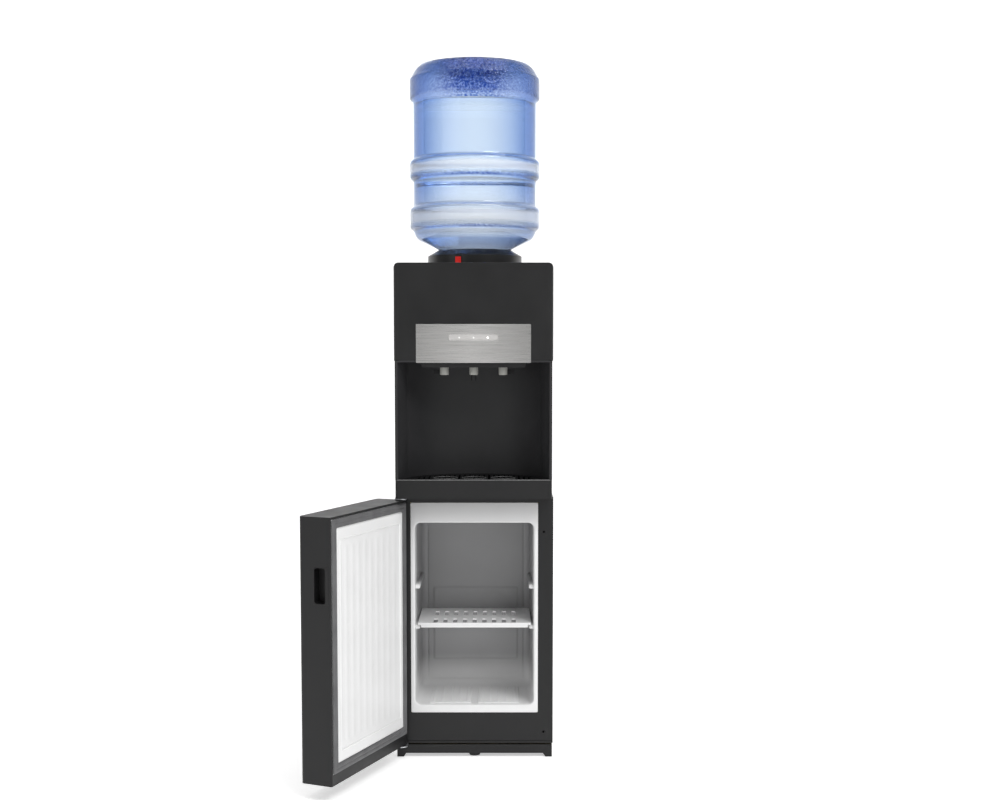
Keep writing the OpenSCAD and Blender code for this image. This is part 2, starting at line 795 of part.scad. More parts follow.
// Drip tray: a loose cup in the tray block, with a ledge for its grille
tray_wall = 2.5;
grille_t = 3.5;
tray_lip = 0.5;
module drip_tray() color(black_c) {
    in = recess_in + clear;
    f = recess_f + clear;
    ledge_z = tray_top - tray_lip - grille_t - gap;
    difference() {
        alcove_solid(in, f, tray_floor_z + gap, tray_top - tray_lip);
        alcove_solid(in + 2 * tray_wall + tray_rim, f + 2 * tray_wall + tray_rim,
            tray_floor_z + gap + tray_wall, tray_top);
        alcove_solid(in + tray_wall, f + tray_wall, ledge_z, tray_top + over);
    }
}

// Drip grille: a slotted plate with a raised ring under each tap
grille_slots = 23;
grille_pitch = 10;
grille_slot_w = 4;
grille_border = 8;
ring_r = 25;
ring_w = 2;
ring_h = 0.8;
module drip_grille() color([0.12, 0.12, 0.12]) {
    in = recess_in + 2 * clear + tray_wall;
    f = recess_f + 2 * clear + tray_wall;
    z1 = tray_top - tray_lip;
    difference() {
        alcove_solid(in, f, z1 - grille_t, z1);
        intersection() {
            alcove_solid(in + grille_border, f + grille_border, z1 - grille_t - over, z1 + over);
            for (i = [0 : grille_slots - 1])
                block([(i - (grille_slots - 1) / 2) * grille_pitch - grille_slot_w / 2, front_y,
                        z1 - grille_t - over],
                    [(i - (grille_slots - 1) / 2) * grille_pitch + grille_slot_w / 2, base_back,
                        z1 + over]);
        }
    }
    for (i = [-1 : 1])
        translate([i * tap_pitch, front_y + tap_in + ring_r, z1 - grille_t / 2]) difference() {
            cylinder(r = ring_r, h = grille_t / 2 + ring_h);
            translate([0, 0, -over]) cylinder(r = ring_r - ring_w, h = grille_t + 2 * over);
        }
}

// Back wall, cheeks and ceiling of the bay in one moulding
ceiling_t = 2.5;
module alcove_panel() color(black_c) {
    difference() {
        intersection() {
            alcove_solid(-wall, 0, tray_top, housing_z);
            block([-body_half + wall, front_y, tray_top], [body_half - wall, sheet_y, housing_z]);
        }
        alcove_solid(0, -over, tray_top - over, housing_z - ceiling_t);
        block([-panel_half - gap, front_y - over, housing_z - panel_drop - gap],
            [panel_half + gap, front_y - panel_out + panel_t + gap, housing_z + over]);
        for (i = [-1 : 1]) translate([i * tap_pitch, tap_y, housing_z - ceiling_t - over])
            cylinder(r = spout_d / 2 + gap, h = ceiling_t + 2 * over);
    }
}

// Side covers of the upper body, with a foot behind the tray block
side_in = 14;
top_skirt = 13.7;
module upper_panel() difference() {
    x0 = body_half - wall;
    union() {
        block([x0, front_y, tray_top], [body_half, sheet_y, housing_z]);
        block([x0, front_y + side_in, housing_z - eps], [body_half, sheet_y, body_top - top_skirt]);
        block([x0, base_back + gap, tray_z], [body_half, sheet_y, tray_top + eps]);
        block([body_half - return_w, sheet_y - wall, tray_z],
            [body_half, sheet_y, body_top - top_skirt]);
    }
    screw_bores();
}
module left_upper_panel() color(black_c) mirror([1, 0, 0]) upper_panel();
module right_upper_panel() color(black_c) upper_panel();

// ---------------------------------------------------------------- front housing and panel

housing_r = 13;
housing_top_r = 10;
housing_back = front_y + 60;
// Solid of the housing drawn in by g: round front edges in plan and round top corners in front
// view; its bottom and back run on by low and past
module housing_solid(g, low, past) {
    h = shell_half - g;
    r = housing_r - g;
    tr = housing_top_r - g;
    tall = 2 * housing_top_r;
    intersection() {
        translate([0, 0, housing_z - low]) linear_extrude(housing_h + low - g) {
            translate([-h + r, front_y + g]) square([2 * (h - r), housing_back - front_y - g + past]);
            translate([-h, front_y + g + r])
                square([2 * h, housing_back - front_y - g - r + past]);
            for (s = [-1, 1]) translate([s * (h - r), front_y + g + r]) circle(r);
        }
        translate([0, housing_back + 2 * tall, 0]) rotate([90, 0, 0])
            linear_extrude(housing_back - front_y + 3 * tall) top_outline(h, body_top - g, tr);
    }
}
// Outline in front view: square at the bottom, round at its two top corners
module top_outline(h, top, r) {
    low = housing_z - 2 * housing_h;
    translate([-h, low]) square([2 * h, top - r - low]);
    translate([-h + r, low]) square([2 * (h - r), top - low]);
    for (s = [-1, 1]) translate([s * (h - r), top - r]) circle(r);
}
module front_housing() color(black_c) {
    difference() {
        housing_solid(0, 0, 0);
        housing_solid(housing_wall, over, over);
        block([-panel_half - gap, front_y - over, housing_z - over],
            [panel_half + gap, front_y + housing_wall + over, housing_z + panel_h + gap]);
    }
}

// Steel panel in the housing's opening, with a long slot for the indicators
panel_t = 3;
panel_out = 0.6;
panel_r = 1.5;
slot_z = housing_z + 46.8;
module control_panel() color(steel_c) {
    difference() {
        face_plate(panel_half, housing_z - panel_drop, housing_z + panel_h, front_y - panel_out,
            panel_t, panel_r);
        face_plate(slot_half, slot_z - slot_h / 2, slot_z + slot_h / 2, front_y - panel_out - over,
            panel_t + 2 * over, slot_h / 2 - eps);
    }
}

// Lens in the slot, pierced for the three lamps
lamp_r = 1.6;
lamp_pitch = 28;
lamp_drop = 1;
lens_in = 0.8;
module indicator_lens() color([0.5, 0.5, 0.5]) {
    difference() {
        face_plate(slot_half - gap / 2, slot_z - slot_h / 2 + gap / 2, slot_z + slot_h / 2 - gap / 2,
            front_y - panel_out + lens_in, panel_t - lens_in, slot_h / 2 - gap);
        for (i = [-1 : 1])
            bore_y(i * lamp_pitch, slot_z - lamp_drop, front_y - over, lamp_r + gap,
                panel_t + 2 * over);
    }
}

// Circuit board behind the panel, on four posts, with its three lamps
board_half = 52;
board_h = 22;
board_y = front_y - panel_out + panel_t + 3;
board_t = 1.6;
module indicator_board() color([0.1, 0.35, 0.2]) {
    face_plate(board_half, slot_z - board_h / 2, slot_z + board_h / 2, board_y, board_t, 1);
    for (s = [-1, 1], t = [-1, 1])
        bore_y(s * (board_half - 4), slot_z + t * (board_h / 2 - 3), front_y - panel_out + panel_t,
            2, board_y - front_y + panel_out - panel_t + eps);
    for (i = [-1 : 1])
        bore_y(i * lamp_pitch, slot_z - lamp_drop, front_y - panel_out + lens_in, lamp_r,
            board_y - front_y + panel_out - lens_in + eps);
}

// ---------------------------------------------------------------- taps

tap_y = front_y + tap_in;
bar_z = housing_z - ceiling_t - bar_h;
bar_front = front_y + 4;
bar_back = front_y + 46;
bar_taper = 3;
pivot_y = front_y + 36;
pivot_z = bar_z + 7;
pivot_r = 1.5;
pivot_l = 22;
arm_t = 3;
arm_w = 12;
slot_fore = 5;
slot_aft = 7;

// Nozzle bar: the dark lip that holds the spouts and the levers' pivots
module nozzle_bar() color(black_c) {
    difference() {
        translate([0, bar_back, bar_z]) rotate([90, 0, 0]) linear_extrude(bar_back - bar_front)
            polygon([[-bar_half + bar_taper, 0], [bar_half - bar_taper, 0], [bar_half, bar_h],
                [-bar_half, bar_h]]);
        for (i = [-1 : 1]) translate([i * tap_pitch, 0, 0]) {
            translate([0, tap_y, bar_z - over]) cylinder(r = spout_d / 2 + gap, h = bar_h + 2 * over);
            block([-arm_w / 2 - clear, pivot_y - slot_fore, bar_z - over],
                [arm_w / 2 + clear, pivot_y + slot_aft, bar_z + bar_h + over]);
            translate([-pivot_l / 2 - clear, pivot_y, pivot_z]) rotate([0, 90, 0])
                cylinder(r = pivot_r + clear, h = pivot_l + 2 * clear);
        }
    }
}

// Spout: a tube with a collar that stands on the ceiling
spout_collar = 2.4;
spout_collar_r = 11;
spout_tip = 1.2;
module spout() {
    translate([0, tap_y, 0]) rotate_extrude() polygon([
        [spout_bore / 2, bar_z - spout_drop], [spout_d / 2 - spout_tip, bar_z - spout_drop],
        [spout_d / 2, bar_z - spout_drop + spout_tip], [spout_d / 2, housing_z],
        [spout_collar_r, housing_z], [spout_collar_r, housing_z + spout_collar],
        [spout_bore / 2, housing_z + spout_collar]]);
}
module hot_spout() color(grey_c) translate([-tap_pitch, 0, 0]) spout();
module room_spout() color(grey_c) spout();
module cold_spout() color(grey_c) translate([tap_pitch, 0, 0]) spout();

// Valve: an upright body on the spout, with a cap and an inlet to the back
valve_r = 13;
valve_h = 26;
cap_r = 10;
cap_h = 7;
inlet_r = 5.5;
inlet_l = 20;
inlet_z = housing_z + spout_collar + 16;
module valve() {
    translate([0, tap_y, housing_z + spout_collar]) {
        cylinder(r = valve_r, h = valve_h);
        cylinder(r = cap_r, h = valve_h + cap_h);
    }
    bore_y(0, inlet_z, tap_y, inlet_r, inlet_l);
}
module hot_valve() color([0.75, 0.2, 0.15]) translate([-tap_pitch, 0, 0]) valve();
module room_valve() color([0.85, 0.85, 0.85]) valve();
module cold_valve() color([0.15, 0.35, 0.75]) translate([tap_pitch, 0, 0]) valve();

// Arm of a lever, from its pivot pin down behind the spout
pad_z0 = bar_z - 13.5;
pad_z1 = bar_z - 5;
pad_y = pivot_y - 6;
pad_t = 4;
module lever_arm() {
    block([-arm_w / 2, pivot_y - arm_t / 2, pad_z0 + 2], [arm_w / 2, pivot_y + arm_t / 2, pivot_z]);
    translate([-arm_w / 2, pivot_y, pivot_z]) rotate([0, 90, 0])
        cylinder(r = pivot_r + 0.8, h = arm_w);
    translate([-pivot_l / 2, pivot_y, pivot_z]) rotate([0, 90, 0])
        cylinder(r = pivot_r, h = pivot_l);
}
// Lever of an outer tap: its pad reaches out past the spout to the side
pad_reach = 22;
module side_lever() {
    lever_arm();
    block([-arm_w / 2, pad_y, pad_z0], [pad_reach, pad_y + pad_t, pad_z1]);
    block([-arm_w / 2, pad_y, pad_z0], [arm_w / 2, pivot_y + arm_t / 2, pad_z0 + pad_t]);
}
module hot_lever() color(black_c) translate([-tap_pitch, 0, 0]) mirror([1, 0, 0]) side_lever();
module cold_lever() color(black_c) translate([tap_pitch, 0, 0]) side_lever();

// Lever of the middle tap: two prongs that reach below the spout
prong_in = 3;
prong_w = 2.2;
prong_z = bar_z - spout_drop - 11.7;
module room_lever() color(black_c) {
    lever_arm();
    block([-arm_w / 2, pad_y, pad_z0], [arm_w / 2, pivot_y + arm_t / 2, pad_z0 + pad_t]);
    both_sides() block([prong_in, pad_y, prong_z], [prong_in + prong_w, pad_y + pad_t,
        pad_z0 + eps]);
}

// ---------------------------------------------------------------- top

// Top cover behind the housing, with a round hole that the collar drops into
cover_hole_r = collar_r - 3;
cover_t = 2.7;
module top_cover() color(black_c) {
    y0 = housing_back + gap;
    y1 = sheet_back;
    difference() {
        translate([0, y1, 0]) rotate([90, 0, 0]) linear_extrude(y1 - y0) difference() {
            intersection() {
                top_outline(body_half, body_top, housing_top_r - housing_wall);
                translate([-body_half, body_top - top_skirt]) square([2 * body_half, top_skirt]);
            }
            top_outline(body_half - wall, body_top - cover_t, housing_top_r - housing_wall - wall);
        }
        translate([0, bottle_y, body_top - top_skirt - over])
            cylinder(r = cover_hole_r, h = top_skirt + 2 * over, $fn = 120);
    }
}

// Collar: rim and skirt around a funnel, and a throat that ends over the cold tank's neck
collar_low = body_top + gap;
collar_wall = 3;
shoulder_h = 20.3;
throat_z = body_top - 78.7;
throat_top = body_top - 12.7;
drain_bore = 10;
seat_gap = 1.2;
notch_x0 = -38;
notch_x1 = -26;
module bottle_collar() color(black_c) {
    top = rim_z - seat_gap;
    difference() {
        translate([0, bottle_y, 0]) rotate_extrude($fn = 120) polygon([
            [collar_r, collar_low], [collar_r, body_top + shoulder_h], [rim_r, top],
            [rim_r - 2, top], [rim_r - 2, top - 6],
            [throat_r + 4, top - 42], [throat_r, top - 46], [throat_r, throat_z + collar_wall],
            [drain_bore, throat_z + collar_wall], [drain_bore, throat_z],
            [throat_r + 4, throat_z], [throat_r + 4, top - 46], [throat_r + 6.5, top - 43],
            [rim_r - 2, top - 10], [rim_r + 1, top - 4],
            [collar_r - 6, body_top + shoulder_h - 2], [collar_r - 6, body_top - 5],
            [cover_hole_r - clear, body_top - 5], [cover_hole_r - clear, collar_low]]);
        block([notch_x0, bottle_y - collar_r - over, collar_low - over],
            [notch_x1, latch_y1 + clear, body_top + shoulder_h + 6]);
    }
}

// Probe: a tube that stands in the throat and opens the bottle's cap
probe_r = 8.5;
probe_bore = 5;
probe_top = body_top - 18.7;
probe_base_r = 20;
module water_probe() color(white_c) {
    z0 = throat_z + collar_wall;
    translate([0, bottle_y, 0]) difference() {
        rotate_extrude() polygon([[probe_bore, z0], [probe_base_r, z0], [probe_base_r, z0 + 2.5],
            [probe_r, z0 + 2.5], [probe_r, probe_top - 6], [probe_r - 3, probe_top],
            [0, probe_top], [0, probe_top - 3], [probe_bore, probe_top - 3]]);
        translate([-probe_r - over, 0, probe_top - 12]) rotate([0, 90, 0])
            cylinder(r = 2, h = 2 * probe_r + 2 * over);
    }
}

// Red latch in the collar's notch, which slides up to free the collar
latch_h = 15;
latch_proud = 0.6;
latch_y0 = bottle_y - collar_r - latch_proud;
latch_y1 = bottle_y - collar_r + 8;
groove_n = 3;
groove_r = 0.6;
groove_pitch = 2.5;
groove_z = collar_low + 7;
module guard_latch() color([0.9, 0.12, 0.1]) {
    x0 = notch_x0 + clear;
    x1 = notch_x1 - clear;
    difference() {
        block([x0, latch_y0, collar_low + gap], [x1, latch_y1, collar_low + gap + latch_h]);
        for (i = [0 : groove_n - 1]) translate([x0 - over, latch_y0, groove_z + i * groove_pitch])
            rotate([0, 90, 0]) cylinder(r = groove_r, h = x1 - x0 + 2 * over);
    }
}

// ---------------------------------------------------------------- bottle

// Right-hand outline of the bottle from its neck up, drawn in by g
neck_r = 27.5;
neck_z = body_top - 68.7;
hoop_edge = 5;
hoop_low = rim_z + 43.5;
hoop_mid = rim_z + 145.5;
hoop_high = rim_z + 306;
hoop_h = 40;
hoop_mid_h = 34;
hoop_high_h = 40;
function hoop(z, h, g) = [[bottle_r - g, z - hoop_edge], [bottle_r + hoop_out - g, z],
    [bottle_r + hoop_out - g, z + h], [bottle_r - g, z + h + hoop_edge]];
// Points of the shoulder as radius and height above the collar's rim, and of the base, which the
// high hoop runs into, as radius and depth below the bottle's top
shoulder = [[neck_r, -47.5], [neck_r + 12.5, -29.5], [60, -9.5], [81, 3.5], [bottle_r - 8, 21],
    [bottle_r - 2, 31]];
shoulder_rise = 0.4;
base = [[bottle_r + hoop_out - 2, 24], [bottle_r - 4, 7], [bottle_r - 12, 0]];
function bottle_points(g) = concat(
    [[neck_r - g, neck_z]], [for (p = shoulder) [p.x - g, rim_z + p.y + g * shoulder_rise]],
    hoop(hoop_low, hoop_h, g), hoop(hoop_mid, hoop_mid_h, g),
    [for (i = [0 : 2]) hoop(hoop_high, hoop_high_h, g)[i]],
    [for (i = [0 : len(base) - 1]) [base[i].x - g, bottle_top - base[i].y - g * i / 2]]);
module bottle() color(bottle_c) translate([0, bottle_y, 0]) rotate_extrude($fn = 120)
    polygon(concat(bottle_points(0), [[0, bottle_top], [0, bottle_top - bottle_t]],
        reversed(bottle_points(bottle_t))));
function reversed(list) = [for (i = [len(list) - 1 : -1 : 0]) list[i]];

// Water in the bottle, up to its level, clear of the probe
module bottle_water() color(water_c) translate([0, bottle_y, 0]) difference() {
    intersection() {
        rotate_extrude($fn = 120) polygon(concat([[0, neck_z]], bottle_points(bottle_t + gap),
            [[0, bottle_top - bottle_t - gap]]));
        cylinder(r = 2 * bottle_r, h = bottle_top - air_h);
    }
    translate([0, 0, neck_z - over])
        cylinder(r = probe_r + 2 * clear, h = probe_top - neck_z + 2 * over);
}

// Cap on the bottle's neck, open in the middle around the probe
cap_wall = 1.7;
cap_tall = 42;
module bottle_cap() color([0.9, 0.93, 0.97]) translate([0, bottle_y, 0]) rotate_extrude() polygon([
    [probe_r + 2 * clear, neck_z - cap_wall - gap], [neck_r + gap + cap_wall, neck_z - cap_wall - gap],
    [neck_r + gap + cap_wall, neck_z + cap_tall], [neck_r + gap, neck_z + cap_tall],
    [neck_r + gap, neck_z - gap], [probe_r + 2 * clear, neck_z - gap]]);

// ---------------------------------------------------------------- tanks

hot_y = sheet_y - 76;
hot_r = 45;
hot_jacket_t = 15;
hot_h = 121;
tank_wall = 1.5;
// Hollow upright tank
module tank(r, z, h) difference() {
    translate([0, 0, z]) cylinder(r = r, h = h);
    translate([0, 0, z + tank_wall]) cylinder(r = r - tank_wall, h = h - 2 * tank_wall);
}
module hot_tank() color(steel_c) translate([0, hot_y, 0]) tank(hot_r, tray_z + hot_jacket_t, hot_h);
module hot_tank_jacket() color(foam_c) translate([0, hot_y, 0]) difference() {
    translate([0, 0, tray_z]) cylinder(r = hot_r + hot_jacket_t, h = hot_h + 2 * hot_jacket_t);
    translate([0, 0, tray_z + hot_jacket_t]) cylinder(r = hot_r, h = hot_h);
}

// Cold tank with a neck under the collar's throat
cold_jacket_t = 17;
cold_r = 60;
cold_y = front_y + alcove_d + wall + cold_r + cold_jacket_t + 1;
cold_h = 138;
cold_top = throat_z - 45;
cold_z = cold_top - cold_h;
neck_tube_r = 26;
neck_hole_r = 9;
module cold_tank() color(steel_c) difference() {
    union() {
        translate([0, cold_y, 0]) tank(cold_r, cold_z, cold_h);
        translate([0, bottle_y, cold_top - eps])
            cylinder(r = neck_tube_r, h = throat_z - cold_top - clear);
    }
    translate([0, bottle_y, cold_top - tank_wall - over])
        cylinder(r = neck_hole_r, h = throat_z - cold_top + 2 * over);
}
module cold_tank_jacket() color(foam_c) difference() {
    translate([0, cold_y, cold_z - cold_jacket_t])
        cylinder(r = cold_r + cold_jacket_t, h = cold_h + 2 * cold_jacket_t);
    translate([0, cold_y, cold_z]) cylinder(r = cold_r, h = cold_h);
    translate([0, bottle_y, cold_top - eps]) cylinder(r = neck_tube_r, h = cold_jacket_t + over);
    for (x = [0, cold_hose_x])
        bore_y(x, inlet_z, cold_y - cold_r - cold_jacket_t - over, hose_r + gap, cold_r);
}

// Bracket that carries the cold tank from the back panel
bracket_half = 70;
bracket_t = 2;
gusset_h = 26;
module tank_bracket() color(zinc_c) {
    z = cold_z - cold_jacket_t;
    block([-bracket_half, cold_y - cold_r, z - bracket_t], [bracket_half, sheet_y, z]);
    block([-bracket_half, sheet_y - bracket_t, z - gusset_h], [bracket_half, sheet_y, z]);
    both_sides() block([bracket_half - bracket_t, cold_y - cold_r, z - gusset_h],
        [bracket_half, sheet_y, z]);
}

// Hoses from the tanks to the valves, and the link between the two tanks
hose_r = 4;
cold_hose_x = 30;
// Where a hose along y at x meets the front of a drum of radius r at y
function drum_y(x, y, r) = y - sqrt(r * r - pow(max(x - hose_r, 0), 2)) - gap;
hose_run = 50;
hose_side = 45;
cold_hose_run = 30;
module water_hoses() color([0.9, 0.9, 0.88]) {
    y0 = tap_y + inlet_l;
    side_x = hot_r + hot_jacket_t + hose_side;
    hot_z = tray_z + hot_h;
    pipe([[-tap_pitch, y0, inlet_z], [-tap_pitch, y0 + hose_run, inlet_z],
        [-side_x, y0 + 2 * hose_run, inlet_z], [-side_x, y0 + 2 * hose_run, hot_z],
        [-side_x, hot_y, hot_z], [-hot_r - hot_jacket_t - gap, hot_y, hot_z]], hose_r);
    pipe([[0, y0, inlet_z], [0, drum_y(0, cold_y, cold_r), inlet_z]], hose_r);
    pipe([[tap_pitch, y0, inlet_z], [tap_pitch, y0 + cold_hose_run, inlet_z],
        [cold_hose_x, y0 + 2 * cold_hose_run, inlet_z],
        [cold_hose_x, drum_y(cold_hose_x, cold_y, cold_r), inlet_z]], hose_r);
}

// ---------------------------------------------------------------- back fittings

// Switch bezel with two openings, and its two rocker switches
switch_x = 92;
switch_z = body_top - 62;
bezel_w = 64;
bezel_h = 34;
bezel_lip = 3;
bezel_t = 2;
rocker_r = 11;
rocker_w = 18;
rocker_pitch = 25;
rocker_tilt = 8;
rocker_y = sheet_back + bezel_t - 5;
rocker_face = 6.5;
rocker_cut = 5;
module switch_bezel() color(black_c) {
    difference() {
        union() {
            translate([-switch_x, 0, 0]) face_plate(bezel_w / 2, switch_z - bezel_h / 2,
                switch_z + bezel_h / 2, sheet_back, bezel_t, 2);
            translate([-switch_x, 0, 0]) face_plate(bezel_w / 2 - bezel_lip - gap,
                switch_z - bezel_h / 2 + bezel_lip + gap, switch_z + bezel_h / 2 - bezel_lip - gap,
                rocker_y - rocker_r - 2, sheet_back - rocker_y + rocker_r + 2 + eps, 1);
        }
        for (s = [-1, 1]) translate([-switch_x + s * rocker_pitch / 2, 0, 0])
            face_plate(rocker_w / 2 + clear, switch_z - rocker_r - clear,
                switch_z + rocker_r + clear, rocker_y - rocker_r - clear,
                rocker_r + 3 * rocker_face, 1);
    }
}
// Rocker: a short drum cut to a shallow V face, tilted to its rest side
module rocker(x) {
    r = 2 * rocker_r;
    translate([x - rocker_w / 2, rocker_y, switch_z]) rotate([rocker_tilt, 0, 0])
        rotate([90, 0, 90]) linear_extrude(rocker_w) intersection() {
            circle(rocker_r);
            polygon([[-rocker_cut, -r], [rocker_face + r * tan(rocker_tilt), -r], [rocker_face, 0],
                [rocker_face + r * tan(rocker_tilt), r], [-rocker_cut, r]]);
        }
}
module hot_switch() color([0.75, 0.12, 0.1]) rocker(-switch_x - rocker_pitch / 2);
module cold_switch() color([0.12, 0.3, 0.65]) rocker(-switch_x + rocker_pitch / 2);

// Drain plugs: two capped stubs at the back
drain_x = back_half - 24;
drain_r = 7;
drain_z = [tray_z + 34, tray_z + 70];
drain_flange_r = 10;
drain_out = 10;
drain_tail = 18;
module drain_plugs() color(white_c) {
    for (z = drain_z) {
        bore_y(drain_x, z, sheet_y - drain_tail, drain_r, drain_tail + sheet + drain_out);
        bore_y(drain_x, z, sheet_back, drain_flange_r, 3);
        bore_y(drain_x, z, sheet_back + 3, drain_flange_r - 1.2, 6, $fn = 12);
    }
}

// Outlet ring for the mains cord, moulded on the back panel
outlet_x = -back_half + 24;
outlet_z = back_z + 18;
outlet_r = 4;
outlet_wall = 3;
outlet_l = 7;

// Pan-head screws around the back panel
screw_x = back_half - 4;
screw_r = 1.9;
screw_head_r = 3.8;
screw_head_h = 2;
screw_l = 8;
screw_z = [back_z + 8, cab_top - 40, tray_top + 30, housing_z, body_top - top_skirt - 8];
// Clearance holes for the screws in whatever lies behind the back panel's face
module screw_bores() {
    for (z = screw_z, s = [-1, 1])
        bore_y(s * screw_x, z, sheet_y - screw_l - gap, screw_r + gap, screw_l + 2 * sheet);
}
module case_screws() color(zinc_c) {
    for (z = screw_z, s = [-1, 1]) {
        bore_y(s * screw_x, z, sheet_y - screw_l, screw_r, screw_l + sheet + eps);
        bore_y(s * screw_x, z, sheet_back, screw_head_r, screw_head_h);
    }
}

base_pan();
plinth();
centre_foot();
rear_feet();
left_lower_panel();
right_lower_panel();
fridge_frame();
fridge_liner();
fridge_foam();
fridge_shelf();
deck_plate();
back_panel();
compressor();
condenser();
refrigerant_lines();
top_hinge();
bottom_hinge();
door_shell();
door_liner();
door_gasket();
door_foam();
door_grip();
tray_base();
drip_tray();
drip_grille();
alcove_panel();
left_upper_panel();
right_upper_panel();
front_housing();
control_panel();
indicator_lens();
indicator_board();
nozzle_bar();
hot_valve();
room_valve();
cold_valve();
hot_spout();
room_spout();
cold_spout();
hot_lever();
room_lever();
cold_lever();
top_cover();
bottle_collar();
water_probe();
guard_latch();
bottle();
bottle_cap();
bottle_water();
hot_tank();
hot_tank_jacket();
cold_tank();
cold_tank_jacket();
tank_bracket();
water_hoses();
switch_bezel();
hot_switch();
cold_switch();
drain_plugs();
case_screws();
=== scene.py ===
"""Floor-standing water dispenser: finished surfaces and materials around a fixed frame of parts.

Everything is in metres, +Z up, +Y to the back, with the origin on the floor under the front.
"""
import json
import math

import bmesh
import bpy
import numpy as np
from bpy.props import FloatProperty, FloatVectorProperty, IntProperty, PointerProperty
from bpy.types import Operator, Panel, PropertyGroup
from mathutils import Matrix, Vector


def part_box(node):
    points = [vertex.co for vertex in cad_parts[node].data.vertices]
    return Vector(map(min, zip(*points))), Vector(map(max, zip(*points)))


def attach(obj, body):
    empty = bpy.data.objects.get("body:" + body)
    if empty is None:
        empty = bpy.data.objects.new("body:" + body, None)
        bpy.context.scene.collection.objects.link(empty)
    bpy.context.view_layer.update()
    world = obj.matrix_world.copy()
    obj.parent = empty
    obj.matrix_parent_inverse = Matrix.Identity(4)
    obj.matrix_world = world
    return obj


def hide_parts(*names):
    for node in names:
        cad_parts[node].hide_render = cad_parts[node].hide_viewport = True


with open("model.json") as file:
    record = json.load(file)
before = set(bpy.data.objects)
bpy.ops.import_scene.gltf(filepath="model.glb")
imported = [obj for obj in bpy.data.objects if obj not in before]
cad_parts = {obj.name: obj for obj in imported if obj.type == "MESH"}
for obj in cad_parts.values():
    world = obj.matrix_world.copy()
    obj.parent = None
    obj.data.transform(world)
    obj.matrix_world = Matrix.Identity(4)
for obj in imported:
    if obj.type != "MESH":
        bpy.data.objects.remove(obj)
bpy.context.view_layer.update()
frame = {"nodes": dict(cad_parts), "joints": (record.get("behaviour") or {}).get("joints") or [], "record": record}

bl_info = {
    "name": "Water dispenser finish",
    "version": (1, 0, 0),
    "blender": (4, 5, 0),
    "location": "3D View > Sidebar > Dispenser",
    "description": "Builds the visible surfaces and the finishes of a floor-standing water dispenser",
    "category": "Object",
}

RECORD = frame["record"]
JOINTS = {joint["name"]: joint for joint in frame["joints"]}
BODY_OF = {node: body for body, nodes in RECORD["behaviour"]["bodies"].items() for node in nodes}
MM = 0.001


# ------------------------------------------------------------------ sizes and colours

def colour_field(name, description, value):
    """A colour setting."""
    return FloatVectorProperty(name=name, description=description, subtype="COLOR", default=value,
                               min=0, max=1)


def length_field(name, description, value, least, most):
    """A length setting, with its numbers in millimetres."""
    return FloatProperty(name=name, description=description, unit="LENGTH", default=value * MM,
                         min=least * MM, max=most * MM)


def count_field(name, description, value, least, most):
    """A setting that is a whole number."""
    return IntProperty(name=name, description=description, default=value, min=least, max=most)


def power_field(name, description, value):
    """A setting for how strong a light is."""
    return FloatProperty(name=name, description=description, default=value, min=0)


class FinishSettings(PropertyGroup):
    """Colours and grains of the dispenser's materials."""

    black: colour_field("Black", "Colour of the moulded covers", (0.0085, 0.0085, 0.009))
    black_deep: colour_field("Deep black", "Colour of the glossier small mouldings",
                             (0.005, 0.005, 0.0055))
    white: colour_field("White", "Colour of the vacuum-formed liners", (0.80, 0.80, 0.80))
    # Painted shade: the grey that the liner turns to deep in the fridge's cavity, where shade falls.
    cavity_shade_grey: colour_field("Cavity shade", "Grey of the painted shade deep in the fridge's cavity", (0.30, 0.30, 0.305))
    gasket: colour_field("Gasket", "Colour of the door gasket", (0.115, 0.115, 0.118))
    steel: colour_field("Steel", "Colour of the brushed front panel", (0.84, 0.83, 0.815))
    spout: colour_field("Spouts", "Colour of the ribbed spouts", (0.27, 0.27, 0.25))
    red: colour_field("Red", "Colour of the latch and the hot switch", (0.80, 0.02, 0.015))
    blue: colour_field("Blue", "Colour of the cold switch and valve", (0.02, 0.12, 0.48))
    bottle_face: colour_field("Bottle", "Tint of the bottle seen straight on", (0.78, 0.845, 0.92))
    # Partly painted: besides the longer path through the wall, this edge tint stands in for the dark refraction at
    # the bottle's edges.
    bottle_edge: colour_field("Bottle edge", "Tint of the bottle seen along its wall",
                              (0.01, 0.20, 0.64))
    water: colour_field("Water", "Tint of the water", (0.93, 0.965, 1.0))
    grain: length_field("Grain", "Size of the moulded grain", 0.7, 0.1, 5)


class ShapeSettings(PropertyGroup):
    """Sizes of the details that the finished surfaces add."""

    edge: length_field("Cover edge", "Radius on the edges of the covers", 0.9, 0.1, 3)
    fine_edge: length_field("Fine edge", "Radius on the edges of small pieces", 0.4, 0.05, 1)
    bottle_wall: length_field("Bottle wall", "Thickness of the bottle", 1.5, 0.8, 3)
    bottle_fillet: length_field("Bottle fillet", "How far the bottle's corners are drawn round",
                                7, 1, 12)
    dish_depth: length_field("Base dish", "Depth of the dish in the bottle's base", 12, 0, 30)
    dish_ribs: count_field("Base ribs", "Number of ribs in the bottle's base", 10, 0, 24)
    spout_ribs: count_field("Spout ribs", "Number of ribs around a spout", 30, 0, 60)
    spout_rib: length_field("Spout rib height", "Height of the ribs around a spout", 0.3, 0, 1)
    flutes: count_field("Door flutes", "Number of upright flutes in the door liner", 10, 1, 20)
    flute_depth: length_field("Flute depth", "Depth of the door's flutes", 0.55, 0, 3)
    door_border: length_field("Door border",
                              "Width of the door liner's raised border at the sides", 11, 4, 30)
    door_border_end: length_field("Door border at the ends",
                                  "Width of that border at top and bottom", 22, 4, 50)
    lip: length_field("Cavity lip", "Radius where the flange turns into the cavity", 3, 1, 8)
    back_fillet: length_field("Cavity back", "Radius at the back of the cavity", 14, 4, 30)
    cavity_corner: length_field("Cavity corner", "Radius of the cavity's corners", 12, 4, 30)


